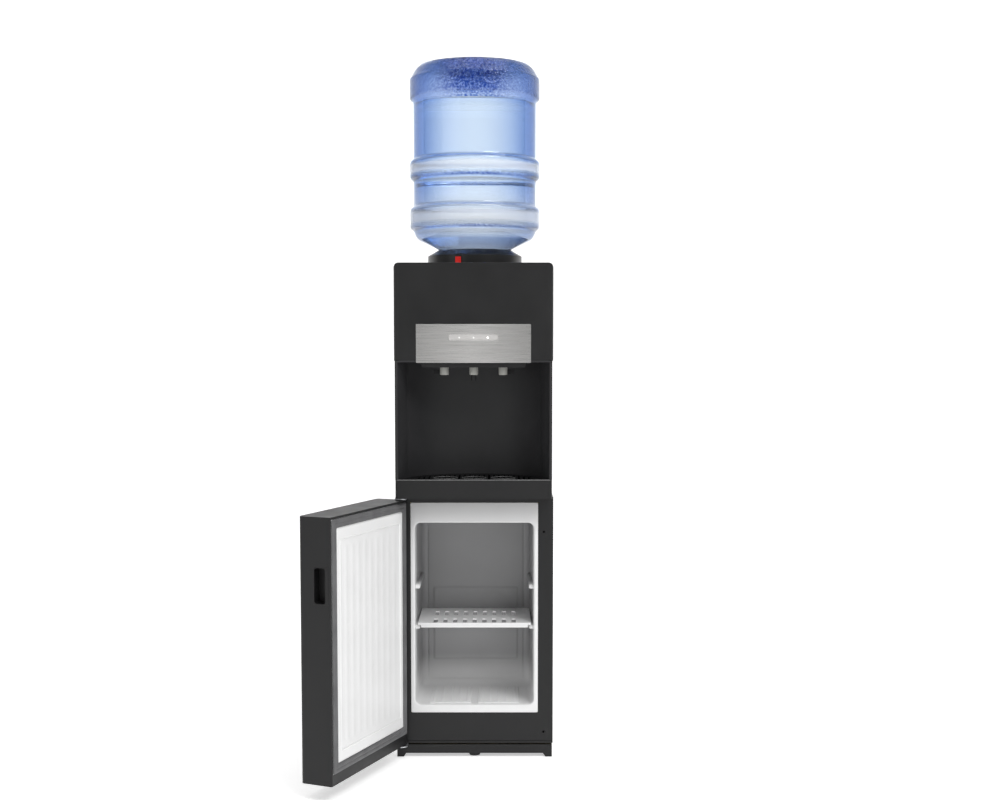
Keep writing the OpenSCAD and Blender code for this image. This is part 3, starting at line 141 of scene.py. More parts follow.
class StageSettings(PropertyGroup):
    """Floor, lights and camera."""

    floor: colour_field("Floor", "Colour of the floor", (0.93, 0.93, 0.93))
    key: power_field("Key light", "Power of the key light in watts", 62)
    fill: power_field("Fill light", "Power of the fill light in watts", 7)
    top: power_field("Top light", "Power of the top light in watts", 36)
    sky: power_field("Surround", "Strength of the even light all round", 0.34)
    glow: power_field("Floor glow", "Light that the floor and the backdrop give themselves", 0.5)
    camera_place: FloatVectorProperty(
        name="Camera", description="Place of the camera", unit="LENGTH", subtype="TRANSLATION",
        default=(0.0521, -2.8821, 0.8632))
    camera_pitch: FloatProperty(
        name="Pitch", description="How far the camera looks down", unit="ROTATION",
        subtype="ANGLE", default=math.radians(4.2009))
    lens: FloatProperty(
        name="Lens", description="Focal length in millimetres", default=51.278, min=10, max=200)
    rise: FloatProperty(
        name="Rise", description="Upward shift of the view", default=0.0391, min=-0.2, max=0.2)


# ------------------------------------------------------------------ places in the frame

DOOR_PIN = np.array(JOINTS["door_hinge"]["pos_m"])
DOOR_OPEN = -math.radians(JOINTS["door_hinge"]["range_deg"][0])


def turned_about_pin(points, angle):
    """Points turned by angle about the upright line through the door's hinge pin."""
    away = np.asarray(points, float) - DOOR_PIN
    c, s = math.cos(angle), math.sin(angle)
    turned = np.stack([c * away[..., 0] - s * away[..., 1], s * away[..., 0] + c * away[..., 1],
                       away[..., 2]], -1)
    return turned + DOOR_PIN


def opened(points):
    """Points of the closed door, moved to where the door stands at rest."""
    return turned_about_pin(points, -DOOR_OPEN)


def vertices_of(mesh):
    """The vertices of a mesh as an array."""
    points = np.empty(len(mesh.vertices) * 3)
    mesh.vertices.foreach_get("co", points)
    return points.reshape(-1, 3)


def node_points(node):
    """The vertices of a node as an array."""
    return vertices_of(frame["nodes"][node].data)


def closed_box(node):
    """Lowest and highest corners of a piece of the door with the door closed."""
    points = turned_about_pin(node_points(node), DOOR_OPEN)
    return points.min(0), points.max(0)


def rest_box(node):
    """Lowest and highest corners of a node, as arrays."""
    low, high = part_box(node)
    return np.array(low), np.array(high)


# ------------------------------------------------------------------ meshes

def linked(name, mesh):
    """A new object for a mesh, in the scene."""
    piece = bpy.data.objects.new(name, mesh)
    bpy.context.scene.collection.objects.link(piece)
    return piece


def smooth(mesh, angle=30.0):
    """Shades a mesh smooth, with its edges sharper than the angle kept sharp."""
    mesh.polygons.foreach_set("use_smooth", np.ones(len(mesh.polygons), bool))
    mesh.set_sharp_from_angle(angle=math.radians(angle))


def grid_faces(rows, cols, wrap_rows, wrap_cols, start=0):
    """Quads that join a grid of points, which wraps round in the directions asked for."""
    index = np.arange(rows * cols).reshape(rows, cols) + start
    if wrap_rows:
        index = np.vstack([index, index[:1]])
    if wrap_cols:
        index = np.hstack([index, index[:, :1]])
    corners = (index[:-1, :-1], index[1:, :-1], index[1:, 1:], index[:-1, 1:])
    return np.stack(corners, -1).reshape(-1, 4)


WELD = 1e-7


def mesh_of(name, points, faces, outward):
    """A mesh from points and quads, with doubled points joined and its faces turned outward."""
    mesh = bpy.data.meshes.new(name)
    mesh.from_pydata(points.reshape(-1, 3), [], faces)
    work = bmesh.new()
    work.from_mesh(mesh)
    bmesh.ops.remove_doubles(work, verts=work.verts, dist=WELD)
    bmesh.ops.dissolve_degenerate(work, edges=work.edges, dist=WELD)
    if outward:
        bmesh.ops.recalc_face_normals(work, faces=work.faces)
    work.to_mesh(mesh)
    work.free()
    return mesh


def many(name, grids, wrap_rows=False, wrap_cols=False, angle=30.0, outward=True):
    """One object from grids of the same size, each a shape of its own."""
    rows, cols = grids[0].shape[:2]
    faces = [grid_faces(rows, cols, wrap_rows, wrap_cols, i * rows * cols)
             for i in range(len(grids))]
    mesh = mesh_of(name, np.concatenate([grid.reshape(-1, 3) for grid in grids]),
                   np.concatenate(faces), outward)
    smooth(mesh, angle)
    return linked(name, mesh)


def surface(name, grid, **settings):
    """One object from one grid of points."""
    return many(name, [grid], **settings)


def over(x, y, z):
    """A grid of points from coordinates that are spread over each other."""
    return np.stack(np.broadcast_arrays(x, y, z), -1)


def full_turn(steps):
    """Evenly spaced angles round a circle."""
    return np.linspace(0, 2 * math.pi, steps, endpoint=False)


def eased(t):
    """0 below 0, 1 above 1, and a smooth step between: 3t squared less 2t cubed."""
    t = np.clip(t, 0, 1)
    return t * t * (3 - 2 * t)


def plateau(x, z, half, low, high, soft):
    """1 inside a rectangle about the middle and 0 outside, eased over a soft border within."""
    return (eased((half - np.abs(x)) / soft) * eased((z - low) / soft)
            * eased((high - z) / soft))


def bell(away, width):
    """1 where away is 0, falling off on both sides: e to the minus (away / width) squared."""
    return np.exp(-(away / width) ** 2)


def rounded(outline, reach, steps=6):
    """An outline with its inner corners drawn round.

    Each corner is replaced by a curve from a point before it to a point after it, both at the
    given reach or half the shorter side, with the corner as the curve's pole: (1-s)^2 A +
    2s(1-s) P + s^2 B.
    """
    points = np.asarray(outline, float)
    before, here, after = points[:-2], points[1:-1], points[2:]
    back, ahead = before - here, after - here
    back_long = np.linalg.norm(back, axis=1, keepdims=True)
    ahead_long = np.linalg.norm(ahead, axis=1, keepdims=True)
    take = np.minimum(np.minimum(back_long, ahead_long) * 0.5, reach)
    start = here + back / back_long * take
    end = here + ahead / ahead_long * take
    s = np.linspace(0, 1, steps)[None, :, None]
    curves = (1 - s) ** 2 * start[:, None] + 2 * s * (1 - s) * here[:, None] + s ** 2 * end[:, None]
    return np.vstack([points[:1], curves.reshape(-1, 2), points[-1:]])


def divided(outline, longest):
    """An outline with points added so that no stretch of it is longer than longest."""
    points = np.asarray(outline, float)
    run = np.concatenate([[0], np.cumsum(np.linalg.norm(np.diff(points, axis=0), axis=1))])
    steps = np.concatenate([np.linspace(a, b, max(int(math.ceil((b - a) / longest)), 1),
                                        endpoint=False) for a, b in zip(run[:-1], run[1:])])
    at = np.append(steps, run[-1])
    return np.stack([np.interp(at, run, points[:, 0]), np.interp(at, run, points[:, 1])], -1)


def spun(outline, centre, steps, relief=None):
    """Points of an outline of (radius, height) turned about an upright axis.

    A relief, where given, is added to the radius as a function of angle and place along it.
    """
    radius, height = np.asarray(outline, float).T
    angle = full_turn(steps)[:, None]
    radius, height = np.broadcast_arrays(radius, height, angle)[:2]
    if relief:
        radius = radius + relief(angle, radius, height)
    return over(centre[0] + radius * np.cos(angle), centre[1] + radius * np.sin(angle), height)


def rectangle_loop(half, low, high, radius, corner=10):
    """A loop of points round a rectangle in x and z with round corners."""
    turn = np.linspace(0, math.pi / 2, corner)
    quarters = []
    for i, (x, z) in enumerate(((1, 1), (-1, 1), (-1, -1), (1, -1))):
        angle = turn + i * math.pi / 2
        centre_x = x * (half - radius)
        centre_z = (high - radius) if z > 0 else (low + radius)
        quarters.append(np.stack([centre_x + radius * np.cos(angle),
                                  centre_z + radius * np.sin(angle)], -1))
    return np.concatenate(quarters)


def stacked_loops(stations, corner=10):
    """Points of a skin through rectangle loops.

    Each station gives half width, lowest and highest z, corner radius and y; the skin is a
    function of the place round the loop and of the station.
    """
    loops = []
    for half, low, high, radius, y in stations:
        loop = rectangle_loop(half, low, high, radius, corner)
        loops.append(over(loop[:, 0], y, loop[:, 1]))
    return np.array(loops)


def rounded_box_grid(low, high, radius, steps=5):
    """Points of a box with round edges and corners.

    It is a ball's grid of latitude and longitude, cut into its eight eighths, which are moved
    apart until the ball fills the box.
    """
    low, high = np.asarray(low, float), np.asarray(high, float)
    radius = min(radius, (high - low).min() / 2)
    centre, reach = (low + high) / 2, (high - low) / 2 - radius
    turn = np.linspace(0, math.pi / 2, steps)
    longitude = np.concatenate([turn + i * math.pi / 2 for i in range(4)])
    side_x = np.repeat([1, -1, -1, 1], steps)
    side_y = np.repeat([1, 1, -1, -1], steps)
    latitude = np.concatenate([[-math.pi / 2], turn - math.pi / 2, turn, [math.pi / 2]])
    side_z = np.concatenate([[-1], np.repeat([-1, 1], steps), [1]])
    flat = np.cos(latitude)[None, :] * radius
    spread = np.ones(len(latitude))
    spread[[0, -1]] = 0
    x = centre[0] + flat * np.cos(longitude)[:, None] + spread * (side_x * reach[0])[:, None]
    y = centre[1] + flat * np.sin(longitude)[:, None] + spread * (side_y * reach[1])[:, None]
    return over(x, y, centre[2] + np.sin(latitude) * radius + side_z * reach[2])


# ------------------------------------------------------------------ placing pieces

def fitted(piece, node, material, stands_in=True):
    """Gives a piece its material and its body, and lets it stand for its node."""
    piece.data.materials.clear()
    piece.data.materials.append(material)
    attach(piece, BODY_OF[node])
    if stands_in:
        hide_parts(node)
    return piece


def coated(node, material):
    """Gives a node that keeps its own mesh a better material."""
    data = frame["nodes"][node].data
    data.materials.clear()
    data.materials.append(material)


SHARP = 30.0
BEVEL_STEPS = 2


def softened(node, material, width):
    """A copy of a node with its loose triangles merged, its flat faces joined and its edges
    rounded by a bevel."""
    name = node + "_finished"
    mesh = bpy.data.meshes.new(name)
    work = bmesh.new()
    work.from_mesh(frame["nodes"][node].data)
    bmesh.ops.remove_doubles(work, verts=work.verts, dist=2e-6)
    bmesh.ops.dissolve_limit(work, angle_limit=math.radians(0.3), verts=work.verts,
                             edges=work.edges)
    work.to_mesh(mesh)
    work.free()
    stored_normals = mesh.attributes.get("custom_normal")
    if stored_normals:
        mesh.attributes.remove(stored_normals)
    smooth(mesh, SHARP)
    piece = linked(name, mesh)
    bevel = piece.modifiers.new("Round edges", "BEVEL")
    bevel.width = width
    bevel.segments = BEVEL_STEPS
    bevel.limit_method = "ANGLE"
    bevel.angle_limit = math.radians(SHARP)
    bevel.harden_normals = True
    return fitted(piece, node, material)


def thickened(piece, thickness):
    """Gives an open skin a wall on its inner side."""
    wall = piece.modifiers.new("Wall", "SOLIDIFY")
    wall.thickness = thickness
    wall.offset = -1
    return piece


# ------------------------------------------------------------------ materials

class Recipe:
    """A node material around one principled shader, on object coordinates."""

    def __init__(self, name, colour, roughness, **sockets):
        self.material = bpy.data.materials.new(name)
        self.material.use_nodes = True
        self.tree = self.material.node_tree
        self.shader = self.tree.nodes["Principled BSDF"]
        self.coordinates = self.tree.nodes.new("ShaderNodeTexCoord")
        self.colour(colour)
        self.shader.inputs["Roughness"].default_value = roughness
        for socket, value in sockets.items():
            self.shader.inputs[socket.replace("_", " ")].default_value = value
        self.material.diffuse_color = (*colour, 1)

    def node(self, kind, **settings):
        """A new node with its settings."""
        made = self.tree.nodes.new(kind)
        for key, value in settings.items():
            setattr(made, key, value)
        return made

    def feed(self, source, target):
        """Puts another socket, a number or a colour into an input."""
        if isinstance(source, bpy.types.NodeSocket):
            self.tree.links.new(source, target)
        elif isinstance(source, (int, float)):
            target.default_value = source
        else:
            target.default_value = (*source, 1)

    def maths(self, operation, first, second=None):
        """The outcome of one calculation on sockets or numbers."""
        made = self.node("ShaderNodeMath", operation=operation)
        self.feed(first, made.inputs[0])
        if second is not None:
            self.feed(second, made.inputs[1])
        return made.outputs[0]

    def mixed(self, factor, first, second, kind="MIX"):
        """The first colour turned towards the second by the factor."""
        made = self.node("ShaderNodeMix", data_type="RGBA", blend_type=kind)
        for source, socket in ((factor, "Factor"), (first, "A"), (second, "B")):
            self.feed(source, made.inputs[socket])
        return made.outputs["Result"]

    def along(self, axis):
        """The place along an axis of the object."""
        split = self.node("ShaderNodeSeparateXYZ")
        self.feed(self.coordinates.outputs["Object"], split.inputs[0])
        return split.outputs[axis]

    def sideways(self):
        """How far a place is from the middle plane, to the left or to the right."""
        return self.maths("ABSOLUTE", self.along("X"))

    def mark(self, name):
        """What an attribute of the mesh says."""
        return self.node("ShaderNodeAttribute", attribute_name=name).outputs["Fac"]

    def noise(self, size, detail=3.0, stretch=(1, 1, 1)):
        """Noise whose features are about size across, stretched along the axes."""
        place = self.node("ShaderNodeMapping")
        place.inputs["Scale"].default_value = tuple(1 / (size * s) for s in stretch)
        self.feed(self.coordinates.outputs["Object"], place.inputs["Vector"])
        made = self.node("ShaderNodeTexNoise")
        made.inputs["Scale"].default_value = 1
        made.inputs["Detail"].default_value = detail
        self.feed(place.outputs["Vector"], made.inputs["Vector"])
        return made.outputs["Fac"]

    def carried(self, value, start, end, low=0.0, high=1.0, kind="SMOOTHSTEP"):
        """A value carried from low at the start to high at the end, smoothly or evenly."""
        made = self.node("ShaderNodeMapRange", interpolation_type=kind)
        for socket, number in (("From Min", start), ("From Max", end), ("To Min", low),
                               ("To Max", high)):
            made.inputs[socket].default_value = number
        self.feed(value, made.inputs["Value"])
        return made.outputs["Result"]

    def spread(self, noise, low, high, reach=0.2):
        """A noise, which stays near one half, spread over low to high."""
        return self.carried(noise, 0.5 - reach, 0.5 + reach, low, high, "LINEAR")

    def roughness(self, noise, low, high):
        """Lets a noise vary the roughness."""
        self.feed(self.spread(noise, low, high), self.shader.inputs["Roughness"])

    def colour(self, source):
        """Sets the base colour, which is kept so that more can be laid over it."""
        self.base = source
        self.feed(source, self.shader.inputs["Base Color"])

    def tone(self, noise, dark, light):
        """Lets a noise run the colour from dark to light."""
        self.colour(self.mixed(self.spread(noise, 0, 1), dark, light))

    def glow(self, colour, strength):
        """Lets the surface give light of its own."""
        self.feed(colour, self.shader.inputs["Emission Color"])
        self.feed(strength, self.shader.inputs["Emission Strength"])

    def bumps(self, *layers):
        """Bumps from one or more noises, each with its height in metres and strength."""
        normal = None
        for value, height, strength in layers:
            bump = self.node("ShaderNodeBump")
            bump.inputs["Distance"].default_value = height
            bump.inputs["Strength"].default_value = strength
            self.feed(value, bump.inputs["Height"])
            if normal:
                self.feed(normal, bump.inputs["Normal"])
            normal = bump.outputs["Normal"]
        self.feed(normal, self.shader.inputs["Normal"])
        return self


def shade(colour, amount):
    """A colour made lighter or darker by a factor."""
    return tuple(min(channel * amount, 1.0) for channel in colour)


def moulded(name, colour, roughness, grain, grain_height=0.02 * MM, **sockets):
    """Moulded plastic: a fine even grain, slow waves in the gloss and a faint change of tone."""
    made = Recipe(name, colour, roughness, **sockets)
    fine = made.noise(grain, 2)
    slow = made.noise(60 * MM, 3)
    made.tone(slow, shade(colour, 0.9), shade(colour, 1.1))
    made.roughness(slow, roughness - 0.05, roughness + 0.05)
    return made.bumps((slow, 0.25 * MM, 0.12), (fine, grain_height, 0.5)).material


def painted_sheet(name, colour, roughness):
    """Painted steel sheet: orange peel in the paint and slow waves in the sheet."""
    made = Recipe(name, colour, roughness, Specular_IOR_Level=0.4)
    peel = made.noise(2.2 * MM, 2)
    slow = made.noise(120 * MM, 2)
    made.tone(slow, shade(colour, 0.92), shade(colour, 1.08))
    made.roughness(peel, roughness - 0.04, roughness + 0.04)
    return made.bumps((slow, 0.6 * MM, 0.12), (peel, 0.03 * MM, 0.4)).material


# Painted shade: the colour that darkens brushed metal towards its sides.
PAINTED_SIDE_SHADE = (0.68, 0.68, 0.68)
HAIRLINE = 0.28 * MM


def brushed(name, colour, roughness, along=(220, 1, 1), fade=0.0):
    """Brushed metal: hairlines stretched along one axis in tone, gloss and height.

    Where a fade is given, painted shade darkens the metal to that distance on either side of its middle, leaving
    the middle lit.
    """
    made = Recipe(name, colour, roughness, Metallic=1.0, Anisotropic=0.6)
    hair = made.noise(HAIRLINE, 4, along)
    broad = made.noise(3 * MM, 3, (30, 1, 1))
    both = made.maths("MULTIPLY", made.maths("ADD", hair, broad), 0.5)
    made.tone(both, shade(colour, 0.88), shade(colour, 1.12))
    # Painted shade, darker towards both sides.
    if fade:
        ends = made.carried(made.sideways(), 0, fade)
        made.colour(made.mixed(ends, made.base, PAINTED_SIDE_SHADE, "MULTIPLY"))
    made.roughness(hair, roughness - 0.07, roughness + 0.1)
    return made.bumps((hair, 0.012 * MM, 0.6)).material


def zinc_sheet(name, colour):
    """Zinc plated steel: blotchy crystals in tone and gloss."""
    made = Recipe(name, colour, 0.35, Metallic=0.9)
    blotch = made.noise(7 * MM, 4)
    fine = made.noise(1 * MM, 2)
    made.tone(blotch, shade(colour, 0.82), shade(colour, 1.12))
    made.roughness(blotch, 0.28, 0.48)
    return made.bumps((fine, 0.02 * MM, 0.4)).material


def formed_white(name, colour, roughness, wall=None):
    """Vacuum-formed sheet: satin, with slow waves and a fine orange peel.

    Where a wall colour is given, painted shade turns the sheet to it from the cavity's mouth to its
    back, but for the floor, and a painted shadow of the overhang greys it a little along its top.
    """
    made = Recipe(name, colour, roughness, Coat_Weight=0.12, Coat_Roughness=0.2)
    peel = made.noise(1.6 * MM, 2)
    slow = made.noise(45 * MM, 3)
    made.tone(slow, shade(colour, 0.985), shade(colour, 1.01))
    if wall:
        low, high = rest_box("fridge_liner")
        y, z = made.along("Y"), made.along("Z")
        # Painted shade: grey growing with depth into the cavity, except on the floor.
        inward = made.carried(y, low[1] + 6 * MM, low[1] + 70 * MM)
        above_floor = made.carried(z, low[2] + 25 * MM, low[2] + 90 * MM)
        # Painted shadow of the overhang above, greying the top of the flange.
        overhang_shadow = made.carried(z, high[2] - 60 * MM, high[2], 0.0, 0.4)
        turned = made.maths("MAXIMUM", made.maths("MULTIPLY", inward, above_floor), overhang_shadow)
        made.colour(made.mixed(turned, made.base, wall))
    made.roughness(slow, roughness - 0.04, roughness + 0.05)
    return made.bumps((slow, 0.3 * MM, 0.08), (peel, 0.015 * MM, 0.3)).material


def soft_rubber(name, colour):
    """Extruded rubber: matt, with fine specks and faint draw lines."""
    made = Recipe(name, colour, 0.62)
    speck = made.noise(0.6 * MM, 3)
    slow = made.noise(30 * MM, 2)
    made.tone(slow, shade(colour, 0.85), shade(colour, 1.15))
    made.roughness(speck, 0.52, 0.72)
    return made.bumps((speck, 0.03 * MM, 0.5)).material


def rigid_foam(name, colour):
    """Poured foam: open skin with pits of several sizes."""
    made = Recipe(name, colour, 0.85)
    cells = made.noise(1.4 * MM, 5)
    blotch = made.noise(18 * MM, 3)
    made.tone(blotch, shade(colour, 0.8), shade(colour, 1.05))
    return made.bumps((blotch, 1.2 * MM, 0.3), (cells, 0.4 * MM, 0.7)).material


# The pale that painted light turns the bottle to.
PAINTED_PALE = (0.97, 0.985, 1.0)


def tinted_glass(name, face, edge, ior, roughness, deep=None):
    """Clear tinted moulding: its tint deepens where the wall is seen along its length.

    The facing of the surface picks the tint between the face and the edge colour; the deeper edge
    tint is partly the longer path through the wall and partly a painted dark refraction. Where a
    deep colour is given, one attribute darkens the tint towards it in specks, for the thick base
    and, as painted shade, along each hoop's lower corner; the specks are darkest near the middle,
    as painted shade between lit sides. The other attribute, painted light, turns the moulding
    paler and less clear.
    """
    made = Recipe(name, face, roughness, IOR=ior, Transmission_Weight=1.0)
    # The tint deepens towards the edges, partly for the longer path through the wall and partly as a painted dark
    # refraction.
    facing = made.node("ShaderNodeLayerWeight")
    facing.inputs["Blend"].default_value = 0.66
    tint = made.mixed(facing.outputs["Facing"], face, edge)
    layers = [(made.noise(40 * MM, 2), 0.8 * MM, 0.10)]
    if deep:
        thick, milky = made.mark("thick"), made.mark("milky")
        # Painted shade: darkest in the middle, lighter towards the sides where the highlights fall.
        middle = made.carried(made.sideways(), 20 * MM, 95 * MM, 1.0, 0.35)
        grains = made.noise(4.2 * MM, 2)
        specks = made.maths("MULTIPLY", made.spread(grains, 0.25, 1.0, reach=0.12), thick)
        tint = made.mixed(made.maths("MULTIPLY", specks, middle), tint, deep, "MULTIPLY")
        # Painted light: paler and less clear where marked.
        tint = made.mixed(made.maths("MULTIPLY", milky, 0.8), tint, PAINTED_PALE)
        made.feed(made.carried(milky, 0, 1, 1.0, 0.62), made.shader.inputs["Transmission Weight"])
        layers.append((made.maths("MULTIPLY", grains, thick), 1.2 * MM, 0.8))
    made.colour(tint)
    return made.bumps(*layers).material


def lit(name, colour, strength):
    """A lamp's dome: clear plastic that glows from inside."""
    made = Recipe(name, colour, 0.2, Coat_Weight=0.5)
    made.glow(colour, strength)
    haze = made.noise(0.8 * MM, 2)
    made.roughness(haze, 0.15, 0.3)
    return made.bumps((haze, 0.01 * MM, 0.3)).material


PALETTE = {}


def finish(name):
    """The dispenser's material of that name, made on first use."""
    if name in PALETTE:
        return PALETTE[name]
    look = bpy.context.scene.dispenser_finish
    makers = {
        "cover_black": lambda: moulded(name, look.black, 0.46, look.grain,
                                       Specular_IOR_Level=0.36),
        # Painted light: the alcove's black made three times lighter, against the shade in its recess.
        "bay_black": lambda: moulded(name, shade(look.black, 3.0), 0.5, look.grain,
                                     Specular_IOR_Level=0.36),
        "gloss_black": lambda: moulded(name, look.black_deep, 0.42, look.grain * 2, 0.008 * MM,
                                       Specular_IOR_Level=0.25),
        "collar_black": lambda: moulded(name, shade(look.black, 0.8), 0.3, look.grain * 2,
                                        0.01 * MM),
        # Painted highlight: the grey of the rings on the grille and of the bead along the tray's edge.
        "trim_grey": lambda: moulded(name, (0.26, 0.26, 0.26), 0.3, look.grain),
        "sheet_black": lambda: painted_sheet(name, look.black, 0.42),
        "enamel_black": lambda: painted_sheet(name, look.black_deep, 0.3),
        "zinc": lambda: zinc_sheet(name, (0.55, 0.56, 0.58)),
        # The panel gets painted shade on its sides, with a lit middle.
        "panel_steel": lambda: brushed(name, look.steel, 0.3, fade=0.14),
        "tank_steel": lambda: brushed(name, (0.6, 0.6, 0.6), 0.34, (60, 60, 1)),
        # The liner's white carries the painted shade of the cavity and the painted shadow along its top.
        "liner_white": lambda: formed_white(name, look.white, 0.38, look.cavity_shade_grey),
        "door_white": lambda: formed_white(name, look.white, 0.34),
        "shelf_white": lambda: formed_white(name, shade(look.white, 0.98), 0.42),
        "gasket_grey": lambda: soft_rubber(name, look.gasket),
        "foot_rubber": lambda: soft_rubber(name, look.black),
        "hose_white": lambda: soft_rubber(name, (0.72, 0.72, 0.69)),
        "spout_grey": lambda: moulded(name, look.spout, 0.42, look.grain, 0.03 * MM),
        "red": lambda: moulded(name, look.red, 0.3, look.grain * 2, 0.01 * MM),
        "blue": lambda: moulded(name, look.blue, 0.3, look.grain * 2, 0.01 * MM),
        "fitting_white": lambda: moulded(name, (0.74, 0.74, 0.72), 0.4, look.grain),
        "board_green": lambda: moulded(name, (0.02, 0.16, 0.07), 0.35, look.grain),
        "lens": lambda: moulded(name, (0.50, 0.49, 0.48), 0.25, look.grain * 2, 0.008 * MM,
                                Coat_Weight=0.4),
        "copper": lambda: brushed(name, (0.72, 0.33, 0.18), 0.3, (1, 1, 40)),
        "foam": lambda: rigid_foam(name, (0.78, 0.66, 0.36)),
        # The deep blue darkens the thick base and the painted shade under the hoops.
        "bottle": lambda: tinted_glass(name, look.bottle_face, look.bottle_edge, 1.36, 0.03,
                                       (0.02, 0.13, 0.52)),
        "water": lambda: tinted_glass(name, look.water, shade(look.water, 0.9), 1.33, 0.0),
        "cap": lambda: moulded(name, (0.72, 0.82, 0.93), 0.35, look.grain),
        "lamp_on": lambda: lit(name, (1.0, 0.98, 0.92), 1.6),
        "lamp_off": lambda: lit(name, (0.78, 0.78, 0.76), 0.12),
    }
    PALETTE[name] = makers[name]()
    return PALETTE[name]


# ------------------------------------------------------------------ operators

class MakerMixin:
    """What the dispenser's operators share."""

    bl_options = {"REGISTER"}

    def execute(self, context):
        """Builds the pieces and ends well."""
        self.make(context, context.scene.dispenser_shape)
        return {"FINISHED"}

    def soften(self, width, finishes):
        """Softens every node that is listed under its finish."""
        for look, nodes in finishes.items():
            for node in nodes.split():
                softened(node, finish(look), width)


class DISPENSER_OT_stage(MakerMixin, Operator):
    """Make the pale floor with its curved backdrop, the soft lights and the camera"""

    bl_idname = "dispenser.stage"
    bl_label = "Stage"

    LIGHTS = {"key": ((1.5, -2.1, 3.2), 1.6), "fill": ((-2.2, -2.2, 1.4), 2.0),
              "top": ((0.2, -0.4, 3.2), 2.4)}
    AIM = (0, 0, 0.75)

    def make(self, context, shape):
        stage = context.scene.dispenser_stage
        self.make_floor(stage)
        for name, (place, size) in self.LIGHTS.items():
            self.make_light(f"{name}_light", getattr(stage, name), place, size)
        world = bpy.data.worlds.new("even_light")
        world.use_nodes = True
        world.node_tree.nodes["Background"].inputs["Color"].default_value = (1, 1, 1, 1)
        world.node_tree.nodes["Background"].inputs["Strength"].default_value = stage.sky
        context.scene.world = world
        context.scene.view_settings.view_transform = "Standard"
        camera = bpy.data.cameras.new("camera")
        camera.lens = stage.lens
        camera.sensor_width = 36
        camera.shift_y = stage.rise
        holder = linked("camera", camera)
        holder.location = stage.camera_place
        holder.rotation_euler = (math.pi / 2 - stage.camera_pitch, 0, 0)
        context.scene.camera = holder

    def make_floor(self, stage):
        """The floor runs back level, turns up in a quarter circle and goes on upright."""
        front, back, bend, tall, half = -9.0, 3.0, 1.5, 9.0, 12.0
        turn = np.linspace(0, math.pi / 2, 24)
        run = np.concatenate([[front], back + bend * np.sin(turn), [back + bend]])
        rise = np.concatenate([[0.0], bend - bend * np.cos(turn), [tall]])
        side = np.array([-half, half])[:, None]
        floor = surface("floor", over(side, run, rise)[::-1], outward=False)
        pale = Recipe("floor_pale", stage.floor, 0.7)
        pale.tone(pale.noise(0.5, 2), shade(stage.floor, 0.99), stage.floor)
        pale.glow(stage.floor, stage.glow)
        floor.data.materials.append(pale.material)

    def make_light(self, name, power, place, size):
        """A square soft light that faces the middle of the dispenser."""
        light = bpy.data.lights.new(name, "AREA")
        light.energy = power
        light.size = size
        holder = linked(name, light)
        holder.location = place
        aim = Vector(self.AIM) - Vector(place)
        holder.rotation_euler = aim.to_track_quat("-Z", "Y").to_euler()


class DISPENSER_OT_covers(MakerMixin, Operator):
    """Finish the black covers, panels, frame and plinth"""

    bl_idname = "dispenser.covers"
    bl_label = "Covers"

    def make(self, context, shape):
        self.soften(shape.edge, {
            "cover_black": "front_housing top_cover tray_base fridge_frame plinth "
                           "left_upper_panel right_upper_panel",
            # The alcove panel takes the black lightened as painted light.
            "bay_black": "alcove_panel"})
        self.soften(shape.fine_edge, {
            "cover_black": "deck_plate",
            "sheet_black": "left_lower_panel right_lower_panel back_panel",
            "zinc": "base_pan"})
        self.soften(shape.edge, {"foot_rubber": "centre_foot rear_feet"})


